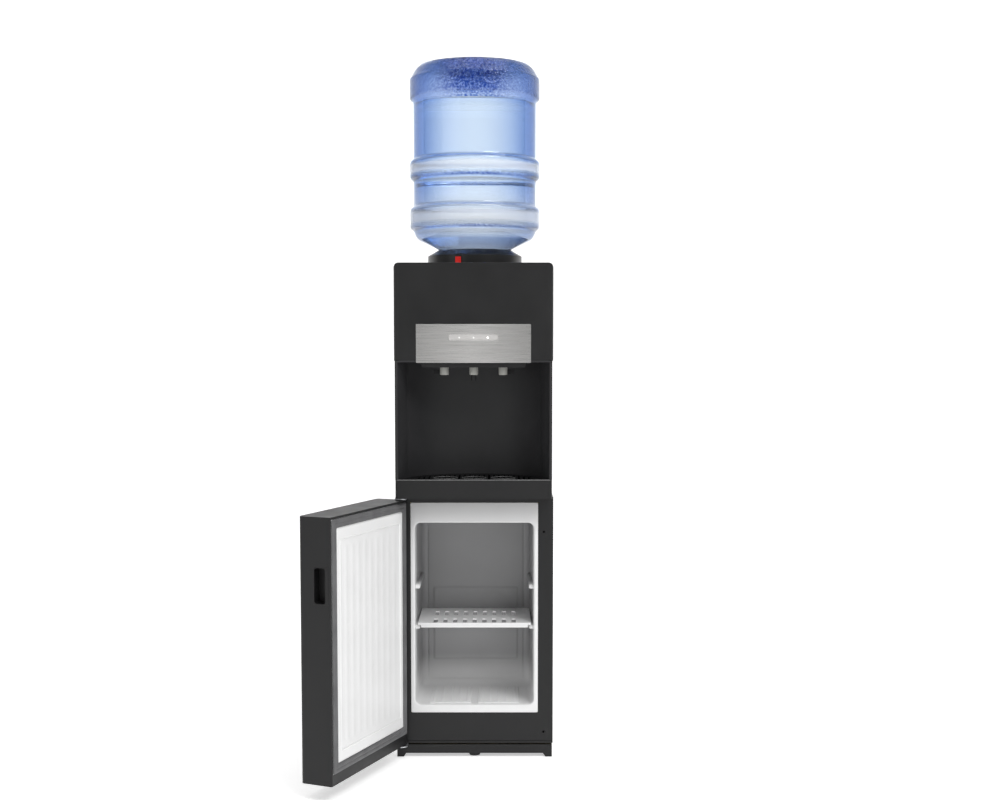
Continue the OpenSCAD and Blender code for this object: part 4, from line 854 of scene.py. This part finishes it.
class DISPENSER_OT_bottle(MakerMixin, Operator):
    """Make the clear blue bottle with its hoops, the water in it and its cap"""

    bl_idname = "dispenser.bottle"
    bl_label = "Bottle"

    HOOPS = ((145.7, 40.0), (247.7, 34.0), (408.2, 40.0))
    HOOP_EDGE = 5.0
    HOOP_OUT = 7.5
    SHOULDER = ((27.5, 0.0), (27.5, 54.7), (40.0, 72.7), (60.0, 92.7), (81.0, 105.7),
                (118.0, 123.2), (124.0, 133.2))
    BASE = ((131.5, -24.0), (122.0, -7.0), (114.0, 0.0))

    def outline(self, low, high, radius):
        """The bottle's outer outline in (radius, height), from its neck to its base's rim."""
        barrel = radius / MM - self.HOOP_OUT
        points = [(r, low[2] / MM + z) for r, z in self.SHOULDER]
        for start, tall in self.HOOPS:
            z = low[2] / MM + start
            points += [(barrel, z - self.HOOP_EDGE), (radius / MM, z), (radius / MM, z + tall),
                       (barrel, z + tall + self.HOOP_EDGE)]
        points[-1:] = []
        points += [(r, high[2] / MM + z) for r, z in self.BASE]
        return np.array(points) * MM

    def inset(self, outline, wall):
        """The same outline moved inward along its normals by the wall."""
        slope = np.gradient(outline, axis=0)
        slope /= np.linalg.norm(slope, axis=1, keepdims=True)
        return outline + np.stack([-slope[:, 1], slope[:, 0]], -1) * wall

    def make(self, context, shape):
        low, high = rest_box("bottle")
        centre = (low + high) / 2
        radius = (high[0] - low[0]) / 2
        outer = divided(rounded(self.outline(low, high, radius), shape.bottle_fillet), 8 * MM)
        inner = self.inset(outer, shape.bottle_wall)
        rim = outer[-1, 0]
        dish = np.linspace(1, 0, 14)[1:]
        dish_outer = np.stack([rim * dish, high[2] - shape.dish_depth * eased((1 - dish) * 3)], -1)
        dish_inner = dish_outer[::-1] - np.array([0, shape.bottle_wall])
        whole = np.vstack([outer, dish_outer, dish_inner, inner[::-1]])

        grid = spun(whole, centre, 192)
        share = np.clip(1 - np.hypot(grid[..., 0] - centre[0], grid[..., 1] - centre[1]) / rim, 0, 1)
        around = np.arctan2(grid[..., 1] - centre[1], grid[..., 0] - centre[0])
        in_dish = grid[..., 2] > high[2] - shape.dish_depth - 3 * shape.bottle_wall
        lift = (0.5 + 0.5 * np.cos(shape.dish_ribs * around)) ** 3
        grid[..., 2] += np.where(in_dish, 4 * MM * lift * eased(share * 4) * eased((1 - share) * 3), 0)
        bottle = surface("bottle_shell", grid, wrap_rows=True, wrap_cols=True, angle=50)
        self.mark_wall(bottle.data, low)
        fitted(bottle, "bottle", finish("bottle"))
        self.make_water(outer, shape, centre)
        softened("bottle_cap", finish("cap"), shape.fine_edge)

    def mark_wall(self, mesh, low):
        """Marks the moulding: one mark for the thick base and, as painted shade, for a line along each
        hoop's lower corner; one of painted light, a painted highlight on the hoops' faces and, growing
        downward, a paler lower half.
        """
        z = (vertices_of(mesh)[:, 2] - low[2]) / MM
        thick = eased((z - self.HOOPS[-1][0] + 2) / 4)
        # Painted light: the lower half turns paler, growing downward.
        milky = 0.35 * eased((self.HOOPS[1][0] - z) / 60) + 0.5 * eased((125 - z) / 40)
        for start, tall in self.HOOPS[:-1]:
            # Painted shade: a dark line along each hoop's lower corner.
            thick = np.maximum(thick, bell(z - start + 1, 3.0))
            # Painted highlight on each hoop's face.
            face = eased((z - start - 3) / 8) * eased((start + tall - 3 - z) / 8)
            milky = np.maximum(milky, 0.85 * face)
        for name, value in (("thick", thick), ("milky", np.clip(milky, 0, 1))):
            mark = mesh.attributes.new(name, "FLOAT", "POINT")
            mark.data.foreach_set("value", value.astype(np.float32))

    def make_water(self, outer, shape, centre):
        """The water follows the inside of the bottle up to its level, round the probe."""
        low, high = rest_box("bottle_water")
        skin = self.inset(outer, shape.bottle_wall + 0.5 * MM)
        skin = skin[skin[:, 1] < high[2] - 2 * MM]
        bore, top = 9.3 * MM, rest_box("water_probe")[1][2]
        start = np.array([(0, top + 0.8 * MM), (bore, top + 0.8 * MM), (bore, low[2] + 0.2 * MM)])
        end = np.array([(skin[-1, 0], high[2] - 0.6 * MM), (skin[-1, 0] - 2 * MM, high[2] - 1.4 * MM),
                        (0, high[2] - 1.6 * MM)])
        whole = np.vstack([start, skin, end])
        water = surface("water_body", spun(whole, centre, 128), wrap_rows=True, angle=50)
        fitted(water, "bottle_water", finish("water"))


class DISPENSER_OT_collar(MakerMixin, Operator):
    """Finish the collar that holds the bottle, its probe and its red latch"""

    bl_idname = "dispenser.collar"
    bl_label = "Collar"

    CATCH_ACROSS = 0.866
    CATCH_HALF = 2.5 * MM
    CATCH_TALL = 5 * MM

    def make(self, context, shape):
        softened("bottle_collar", finish("collar_black"), shape.edge)
        self.make_catches()
        softened("water_probe", finish("fitting_white"), shape.fine_edge)
        softened("guard_latch", finish("red"), shape.fine_edge)

    def make_catches(self):
        """Two small dark catches at the foot of the collar's band."""
        low, high = rest_box("bottle_collar")
        centre, radius = (low + high) / 2, (high[0] - low[0]) / 2
        foot = rest_box("guard_latch")[0][2]
        grids = []
        for side in (-1, 1):
            x = side * self.CATCH_ACROSS * radius
            y = centre[1] - math.sqrt(radius ** 2 - x ** 2)
            grids.append(rounded_box_grid(
                (x - self.CATCH_HALF, y - 1.2 * MM, foot),
                (x + self.CATCH_HALF, y + 3 * MM, foot + self.CATCH_TALL), 0.8 * MM))
        catches = many("collar_catches", grids, wrap_rows=True)
        fitted(catches, "bottle_collar", finish("gloss_black"), False)


class DISPENSER_OT_front_panel(MakerMixin, Operator):
    """Make the brushed panel, its indicator strip and its lamps"""

    bl_idname = "dispenser.front_panel"
    bl_label = "Front panel"

    LAMPS = (-28 * MM, 0.0, 28 * MM)
    LAMP_RADIUS = 1.9 * MM

    def make(self, context, shape):
        softened("control_panel", finish("panel_steel"), shape.fine_edge)
        softened("indicator_lens", finish("lens"), shape.fine_edge / 2)
        softened("indicator_board", finish("board_green"), shape.fine_edge / 2)
        low, high = rest_box("indicator_lens")
        z = (low[2] + high[2]) / 2 - 1 * MM
        for i, x in enumerate(self.LAMPS):
            dome = self.dome((x, low[1] + 0.1 * MM, z), self.LAMP_RADIUS)
            lamp = surface(f"lamp_dome_{i + 1}", dome, wrap_rows=True)
            fitted(lamp, "indicator_board", finish("lamp_on" if i == 2 else "lamp_off"), False)

    def dome(self, centre, radius):
        """Half a ball pressed flat, facing the front, closed by a flat back."""
        turn = np.linspace(0, math.pi / 2, 8)
        around = full_turn(24)[:, None]
        r = np.concatenate([radius * np.sin(turn), [0]])
        depth = np.concatenate([-0.5 * radius * np.cos(turn), [0]])
        return over(centre[0] + r * np.cos(around), centre[1] + depth,
                    centre[2] + r * np.sin(around))


class DISPENSER_OT_taps(MakerMixin, Operator):
    """Make the nozzle bar, the ribbed spouts, the valves and the levers"""

    bl_idname = "dispenser.taps"
    bl_label = "Taps"

    BORE = 5.5 * MM
    TUBE = 8.7 * MM
    COLLAR_TALL = 2.4 * MM

    def make(self, context, shape):
        softened("nozzle_bar", finish("cover_black"), shape.edge)
        for name in ("hot", "room", "cold"):
            self.make_spout(name, shape)
            softened(f"{name}_lever", finish("gloss_black"), shape.fine_edge)
        self.soften(shape.edge, {
            "red": "hot_valve", "fitting_white": "room_valve", "blue": "cold_valve"})

    def make_spout(self, name, shape):
        """A tube with upright ribs on its lower part, a round lip and a collar at its top."""
        node = f"{name}_spout"
        low, high = rest_box(node)
        centre = (low + high) / 2
        bore, tube, collar = self.BORE, self.TUBE, (high[0] - low[0]) / 2
        collar_low = high[2] - self.COLLAR_TALL
        rib = shape.spout_rib
        outline = rounded([(bore, high[2]), (bore, low[2] + 1.5 * MM), (bore + 1 * MM, low[2]),
                           (tube - 1 * MM, low[2]), (tube - rib, low[2] + 1.4 * MM),
                           (tube - rib, collar_low), (collar, collar_low), (collar, high[2]),
                           (bore, high[2])], 0.5 * MM, 4)
        outline = divided(outline, 3 * MM)

        def ribs(angle, r, z):
            """Ribs rise and fall with the angle, only on the tube's outside."""
            on_tube = eased((r - (bore + 2 * MM)) / MM) * (r < tube) * eased((z - low[2]) / MM)
            return rib * on_tube * (0.5 + 0.5 * np.cos(shape.spout_ribs * angle))

        spout = surface(node + "_ribbed", spun(outline, centre, shape.spout_ribs * 6, ribs),
                        wrap_rows=True, wrap_cols=True, angle=50)
        fitted(spout, node, finish("spout_grey"))


class DISPENSER_OT_drip_tray(MakerMixin, Operator):
    """Finish the drip tray and its slotted grille"""

    bl_idname = "dispenser.drip_tray"
    bl_label = "Drip tray"

    RING_RADIUS = 24 * MM
    RING_HALF_WIDE = 1.15 * MM
    RING_HALF_TALL = 0.85 * MM
    RING_AHEAD = 25 * MM

    def make(self, context, shape):
        self.soften(shape.fine_edge, {"gloss_black": "drip_tray drip_grille"})
        self.make_rings()
        self.make_edge_highlight()

    def make_rings(self):
        """A slim grey ring around each tap's place on the grille, an oval carried round a circle: a painted
        highlight on the grille's own rings.
        """
        top = rest_box("drip_grille")[1][2]
        turn = full_turn(12)
        oval = np.stack([self.RING_RADIUS + self.RING_HALF_WIDE * np.cos(turn),
                         top - 0.8 * MM + self.RING_HALF_TALL * np.sin(turn)], -1)
        spout = rest_box("room_spout")
        front = (spout[0][1] + spout[1][1]) / 2 + self.RING_AHEAD
        painted_rings = many("drip_rings", [spun(oval, (x, front), 96) for x in self.taps()],
                     wrap_rows=True, wrap_cols=True, angle=60)
        fitted(painted_rings, "drip_grille", finish("trim_grey"), False)

    def taps(self):
        """Where the three taps stand across the front."""
        return [sum(corner[0] for corner in rest_box(f"{name}_spout")) / 2
                for name in ("hot", "room", "cold")]

    def make_edge_highlight(self):
        """A slim grey bead along the top front edge of the tray block: a painted highlight of that edge."""
        low, high = rest_box("tray_base")
        bead = rounded_box_grid((low[0] + 3 * MM, low[1] - 0.05 * MM, high[2] - 1.5 * MM),
                                (high[0] - 3 * MM, low[1] + 1.6 * MM, high[2] + 0.15 * MM),
                                0.7 * MM)
        highlight_bead = surface("tray_edge_bead", bead, wrap_rows=True, angle=60)
        fitted(highlight_bead, "tray_base", finish("trim_grey"), False)


class DISPENSER_OT_liner(MakerMixin, Operator):
    """Make the fridge's white liner: flange, cavity, cold wall, rails and floor pads"""

    bl_idname = "dispenser.liner"
    bl_label = "Fridge liner"

    FLANGE = 8.5 * MM
    FLANGE_TOP = 41 * MM
    FLANGE_LOW = 16 * MM
    DRAFT = 5 * MM
    RAIL_TALL = 9 * MM
    RAIL_PITCH = 83 * MM
    PAD_RIBS = 5

    def make(self, context, shape):
        low, high = rest_box("fridge_liner")
        half = high[0]
        opening = dict(half=half - self.FLANGE, low=low[2] + self.FLANGE_LOW,
                       high=high[2] - self.FLANGE_TOP, front=low[1], back=high[1] - 1.5 * MM)
        grid = stacked_loops(self.stations(opening, half, low, high, shape), 12)
        skin = surface("liner_skin", grid, wrap_cols=True, angle=60, outward=False)
        self.close_back(skin)
        thickened(fitted(skin, "fridge_liner", finish("liner_white")), 1.2 * MM)
        self.make_cold_wall(opening)
        self.make_rails(opening)
        self.make_pads(opening)
        softened("fridge_shelf", finish("shelf_white"), shape.fine_edge)
        softened("fridge_foam", finish("foam"), shape.fine_edge)

    def stations(self, opening, half, low, high, shape):
        """Loops from the flange's rim over its face, round the lip, back along the draft and
        round the back fillet to the middle of the back wall."""
        front, back = opening["front"], opening["back"]

        def loop(depth, extra=0.0, radius=None):
            share = (depth - front) / (back - front)
            taper = self.DRAFT * share
            return (opening["half"] - taper + extra, opening["low"] - extra,
                    opening["high"] - taper + extra,
                    max((shape.cavity_corner if radius is None else radius) + extra, 0.5 * MM),
                    depth)

        rows = [(half, low[2], high[2], 3 * MM, front + 1.5 * MM),
                (half, low[2], high[2], 3 * MM, front + 0.4 * MM),
                (half - 0.3 * MM, low[2] + 0.3 * MM, high[2] - 0.3 * MM, 3 * MM, front + 0.1 * MM),
                (half - 0.8 * MM, low[2] + 0.8 * MM, high[2] - 0.8 * MM, 3 * MM, front)]
        turn = np.linspace(0, math.pi / 2, 7)
        for angle in turn:
            rows.append(loop(front + shape.lip * (1 - math.cos(angle)) + 1e-5,
                             shape.lip * (1 - math.sin(angle))))
        for depth in np.linspace(front + shape.lip, back - shape.back_fillet, 14)[1:]:
            rows.append(loop(depth))
        for angle in np.linspace(0, math.pi / 2, 8)[1:]:
            rows.append(loop(back - shape.back_fillet * (1 - math.sin(angle)),
                             -shape.back_fillet * (1 - math.cos(angle)),
                             shape.cavity_corner + shape.back_fillet * (1 - math.cos(angle)) * 0.6))
        return rows

    def close_back(self, skin):
        """Closes the last loop with the flat back wall."""
        work = bmesh.new()
        work.from_mesh(skin.data)
        depth = max(v.co.y for v in work.verts)
        edges = [e for e in work.edges if e.is_boundary
                 and all(abs(v.co.y - depth) < 1e-5 for v in e.verts)]
        bmesh.ops.contextual_create(work, geom=edges)
        bmesh.ops.recalc_face_normals(work, faces=work.faces)
        wall = max(work.faces, key=lambda face: face.calc_area())
        if wall.normal.y > 0:
            bmesh.ops.reverse_faces(work, faces=work.faces)
        work.to_mesh(skin.data)
        work.free()
        smooth(skin.data, 60)

    def make_cold_wall(self, opening):
        """A thin plate on the back wall whose face has pressed channels.

        Its depth is a function of x and z: a raised field between two level lines, and a row of
        shallow waves under the upper line.
        """
        margin = 13 * MM
        half = opening["half"] - self.DRAFT - margin
        z0, z1 = opening["low"] + margin, opening["high"] - self.DRAFT - margin
        x = np.linspace(-half, half, 120)[:, None]
        z = np.linspace(z0, z1, 170)[None, :]
        line_low, line_high = opening["low"] + 57 * MM, opening["low"] + 214 * MM
        inside = eased((half - 12 * MM - np.abs(x)) / (3 * MM))
        field = inside * eased((z - line_low) / (2 * MM)) * eased((line_high - z) / (2 * MM))
        waves = inside * bell(z - line_high + 14 * MM, 6 * MM) * np.sin(x / (5.5 * MM))
        rim = plateau(x, z, half, z0, z1, 1.5 * MM)
        y = opening["back"] - 0.1 * MM - rim * (0.7 * MM + 0.9 * MM * field + 0.5 * MM * waves)
        wall = surface("cold_wall_plate", over(x, y, z), outward=False, angle=60)
        # The plate takes the liner's painted shade.
        fitted(wall, "fridge_liner", finish("liner_white"), False)

    def make_rails(self, opening):
        """Two pairs of round-nosed rails along the cavity's sides."""
        top = rest_box("fridge_shelf")[1][2] - 4.9 * MM
        inner, deep = opening["half"] - 10 * MM, opening["back"] - 6 * MM
        grids = []
        for z in (top, top + self.RAIL_PITCH):
            for side in (-1, 1):
                grid = rounded_box_grid(
                    (inner, opening["front"] + 12 * MM, z - self.RAIL_TALL),
                    (opening["half"] + 6 * MM, deep, z), 3.6 * MM)
                wall = opening["half"] - self.DRAFT * (grid[..., 1] - opening["front"]) \
                    / (opening["back"] - opening["front"]) + 0.6 * MM
                grid[..., 0] = np.minimum(grid[..., 0], wall)
                grid[..., 0] *= side
                grids.append(grid)
        rails = many("liner_rails", grids, wrap_rows=True)
        fitted(rails, "fridge_liner", finish("liner_white"), False)

    def make_pads(self, opening):
        """Two raised pads on the cavity's floor, each with low ribs from front to back."""
        floor = opening["low"]
        front, back = opening["front"] + 12 * MM, opening["back"] - 25 * MM
        x0, x1 = 6 * MM, opening["half"] - 29 * MM
        middles = [x0 + (i + 0.5) * (x1 - x0) / self.PAD_RIBS for i in range(self.PAD_RIBS)]
        grids = []
        for side in (-1, 1):
            pad = rounded_box_grid((x0, front, floor - 2 * MM), (x1, back, floor + 2.5 * MM), 2 * MM)
            ribs = [rounded_box_grid((x - 3 * MM, front + 6 * MM, floor),
                                     (x + 3 * MM, back - 6 * MM, floor + 3.5 * MM), 1.5 * MM)
                    for x in middles]
            for grid in [pad] + ribs:
                grid[..., 0] *= side
                grids.append(grid)
        pads = many("floor_pads", grids, wrap_rows=True)
        fitted(pads, "fridge_liner", finish("liner_white"), False)


class DISPENSER_OT_door(MakerMixin, Operator):
    """Make the door: black shell, fluted white liner, grey gasket, grip and hinges"""

    bl_idname = "dispenser.door"
    bl_label = "Door"

    GASKET = 16.5 * MM
    GAP = 0.3 * MM
    RIM = 1.2 * MM
    AT_STEP = np.linspace(-4 * MM, 4 * MM, 9)

    def make(self, context, shape):
        softened("door_shell", finish("cover_black"), shape.edge)
        softened("door_grip", finish("cover_black"), shape.fine_edge)
        coated("door_foam", finish("foam"))
        for node in ("top_hinge", "bottom_hinge"):
            softened(node, finish("zinc"), shape.fine_edge)
        self.make_gasket()
        self.make_liner(shape)

    def make_gasket(self):
        """A bellows profile carried round a rectangle: an outer lip, a groove and an inner lip."""
        low, high = closed_box("door_gasket")
        face, root = high[1], low[1]
        deep = face - root
        profile = [(0.0, 0.0), (0.0, 0.55), (0.06, 0.8), (0.14, 0.95), (0.26, 1.0), (0.38, 0.97),
                   (0.45, 0.84), (0.5, 0.72), (0.55, 0.84), (0.62, 0.96), (0.76, 0.99),
                   (0.86, 0.9), (0.94, 0.7), (1.0, 0.42), (1.0, 0.0)]
        rows = [(high[0] - w * self.GASKET, low[2] + w * self.GASKET, high[2] - w * self.GASKET,
                 (2.5 + 2.0 * w) * MM, root + h * deep) for w, h in profile]
        grid = stacked_loops(rows, 8)
        grid[..., 0] += (low[0] + high[0]) / 2
        gasket = surface("door_gasket_bellows", opened(grid), wrap_rows=True, wrap_cols=True,
                         angle=40)
        fitted(gasket, "door_gasket", finish("gasket_grey"))

    def make_liner(self, shape):
        """The liner's face as a height over x and z.

        It rises by a step inside the gasket, falls by a shallower step inside the border, and
        has upright flutes in the field, which are a cosine of x that fades out at the ends.
        """
        low, high = closed_box("door_liner")
        half = (high[0] - low[0]) / 2
        middle = (low[0] + high[0]) / 2
        sheet = closed_box("door_gasket")[0][1]
        inner_half = half - self.GASKET - self.GAP
        z0, z1 = low[2] + self.GASKET + self.GAP, high[2] - self.GASKET - self.GAP
        x = self.samples(half, inner_half, shape.door_border)[:, None]
        z = self.end_samples(low[2], high[2], z0, z1, shape.door_border_end)[None, :]
        raise_by = plateau(x, z, inner_half, z0, z1, 2.5 * MM)
        side = inner_half - shape.door_border
        end0, end1 = z0 + shape.door_border_end, z1 - shape.door_border_end
        field = plateau(x, z, side, end0, end1, 2 * MM)
        rim = (bell(np.abs(x) - side, self.RIM) * (z > end0) * (z < end1)
               + bell(z - end0, self.RIM) * (np.abs(x) < side)
               + bell(z - end1, self.RIM) * (np.abs(x) < side))
        fade = eased((z - end0 - 8 * MM) / (14 * MM)) * eased((end1 - 8 * MM - z) / (14 * MM))
        flute = np.clip(np.cos(2 * math.pi * shape.flutes * x / (2 * side)), -0.6, 1.0)
        y = sheet + 2.5 * MM * raise_by - 1.0 * MM * field + 0.9 * MM * np.minimum(rim, 1) \
            - shape.flute_depth * 0.5 * field * fade * (1 - flute)
        grid = opened(over(x + middle, y, z))
        liner = surface("door_liner_sheet", grid[::-1], outward=False, angle=60)
        thickened(fitted(liner, "door_liner", finish("door_white")), 1.5 * MM)

    def samples(self, half, inner, border):
        """Places across the door, close together at the steps."""
        right = np.concatenate([np.linspace(0, inner - border, 90), inner - border + self.AT_STEP,
                                inner + self.AT_STEP, [half]])
        right = np.unique(np.round(np.clip(right, 0, half), 6))
        return np.concatenate([-right[:0:-1], right])

    def end_samples(self, low, high, z0, z1, border):
        """Places up the door, close together at the steps."""
        fade = np.linspace(0, 26 * MM, 10)
        steps = [place + self.AT_STEP for place in (z0, z1, z0 + border, z1 - border)]
        places = np.concatenate([[low, high], *steps, z0 + border + fade, z1 - border - fade,
                                 np.linspace(z0 + border, z1 - border, 60)])
        return np.unique(np.round(np.clip(places, low, high), 6))


class DISPENSER_OT_cooling(MakerMixin, Operator):
    """Finish the compressor, the condenser and the refrigerant lines"""

    bl_idname = "dispenser.cooling"
    bl_label = "Cooling"

    def make(self, context, shape):
        softened("compressor", finish("enamel_black"), shape.edge)
        coated("condenser", finish("enamel_black"))
        coated("refrigerant_lines", finish("copper"))


class DISPENSER_OT_fittings(MakerMixin, Operator):
    """Finish the switches, drain plugs and screws at the back"""

    bl_idname = "dispenser.fittings"
    bl_label = "Fittings"

    HEAD_REACH = 6 * MM
    CROSS = ((2.2 * MM, 0.45 * MM), (0.45 * MM, 2.2 * MM))

    def make(self, context, shape):
        self.soften(shape.fine_edge, {
            "gloss_black": "switch_bezel", "red": "hot_switch", "blue": "cold_switch",
            "fitting_white": "drain_plugs", "zinc": "case_screws"})
        self.make_recess_shade()

    def make_recess_shade(self):
        """The dark cross of each screw: two crossed dark bars let into its head, painted shade of its cross
        recess.
        """
        points = node_points("case_screws")
        heads = points[points[:, 1] > points[:, 1].max() - 0.05 * MM]
        places = {(x.round(2), z.round(2)) for x, _, z in heads}
        back = points[:, 1].max()
        grids = []
        for x, z in sorted(places):
            near = heads[(np.abs(heads[:, 0] - x) < self.HEAD_REACH)
                         & (np.abs(heads[:, 2] - z) < self.HEAD_REACH)]
            cx, cz = (near[:, [0, 2]].min(0) + near[:, [0, 2]].max(0)) / 2
            for wide, tall in self.CROSS:
                grids.append(rounded_box_grid((cx - wide, back - 0.4 * MM, cz - tall),
                                              (cx + wide, back + 0.06 * MM, cz + tall), 0.2 * MM, 3))
        shade_bars = many("screw_recesses", grids, wrap_rows=True)
        fitted(shade_bars, "case_screws", finish("gloss_black"), False)


class DISPENSER_OT_inside(MakerMixin, Operator):
    """Finish the tanks, their jackets, the bracket and the hoses"""

    bl_idname = "dispenser.inside"
    bl_label = "Inside"

    def make(self, context, shape):
        self.soften(shape.fine_edge, {"zinc": "tank_bracket", "tank_steel": "hot_tank cold_tank"})
        self.soften(shape.edge, {"foam": "hot_tank_jacket cold_tank_jacket"})
        coated("water_hoses", finish("hose_white"))


MAKERS = (DISPENSER_OT_stage, DISPENSER_OT_covers, DISPENSER_OT_bottle, DISPENSER_OT_collar,
          DISPENSER_OT_front_panel, DISPENSER_OT_taps, DISPENSER_OT_drip_tray,
          DISPENSER_OT_liner, DISPENSER_OT_door, DISPENSER_OT_cooling, DISPENSER_OT_fittings,
          DISPENSER_OT_inside)


class DISPENSER_PT_panel(Panel):
    """Lists the settings and the makers in the sidebar."""

    bl_idname = "DISPENSER_PT_panel"
    bl_label = "Water dispenser"
    bl_space_type = "VIEW_3D"
    bl_region_type = "UI"
    bl_category = "Dispenser"

    def draw(self, context):
        for maker in MAKERS:
            self.layout.operator(maker.bl_idname)
        for settings in (context.scene.dispenser_finish, context.scene.dispenser_shape,
                         context.scene.dispenser_stage):
            box = self.layout.box()
            for name in settings.__annotations__:
                box.prop(settings, name)


SETTINGS = {"dispenser_finish": FinishSettings, "dispenser_shape": ShapeSettings,
            "dispenser_stage": StageSettings}


def register():
    """Registers the settings, the makers and the panel."""
    for cls in (*SETTINGS.values(), *MAKERS, DISPENSER_PT_panel):
        bpy.utils.register_class(cls)
    for name, cls in SETTINGS.items():
        setattr(bpy.types.Scene, name, PointerProperty(type=cls))


def unregister():
    """Takes them away again."""
    for name in SETTINGS:
        delattr(bpy.types.Scene, name)
    for cls in (DISPENSER_PT_panel, *reversed(MAKERS), *SETTINGS.values()):
        bpy.utils.unregister_class(cls)


def main():
    """Makes every piece in order."""
    register()
    for maker in MAKERS:
        group, name = maker.bl_idname.split(".")
        if getattr(getattr(bpy.ops, group), name)() != {"FINISHED"}:
            raise RuntimeError(f"{maker.bl_label} did not finish")


if __name__ == "__main__":
    main()
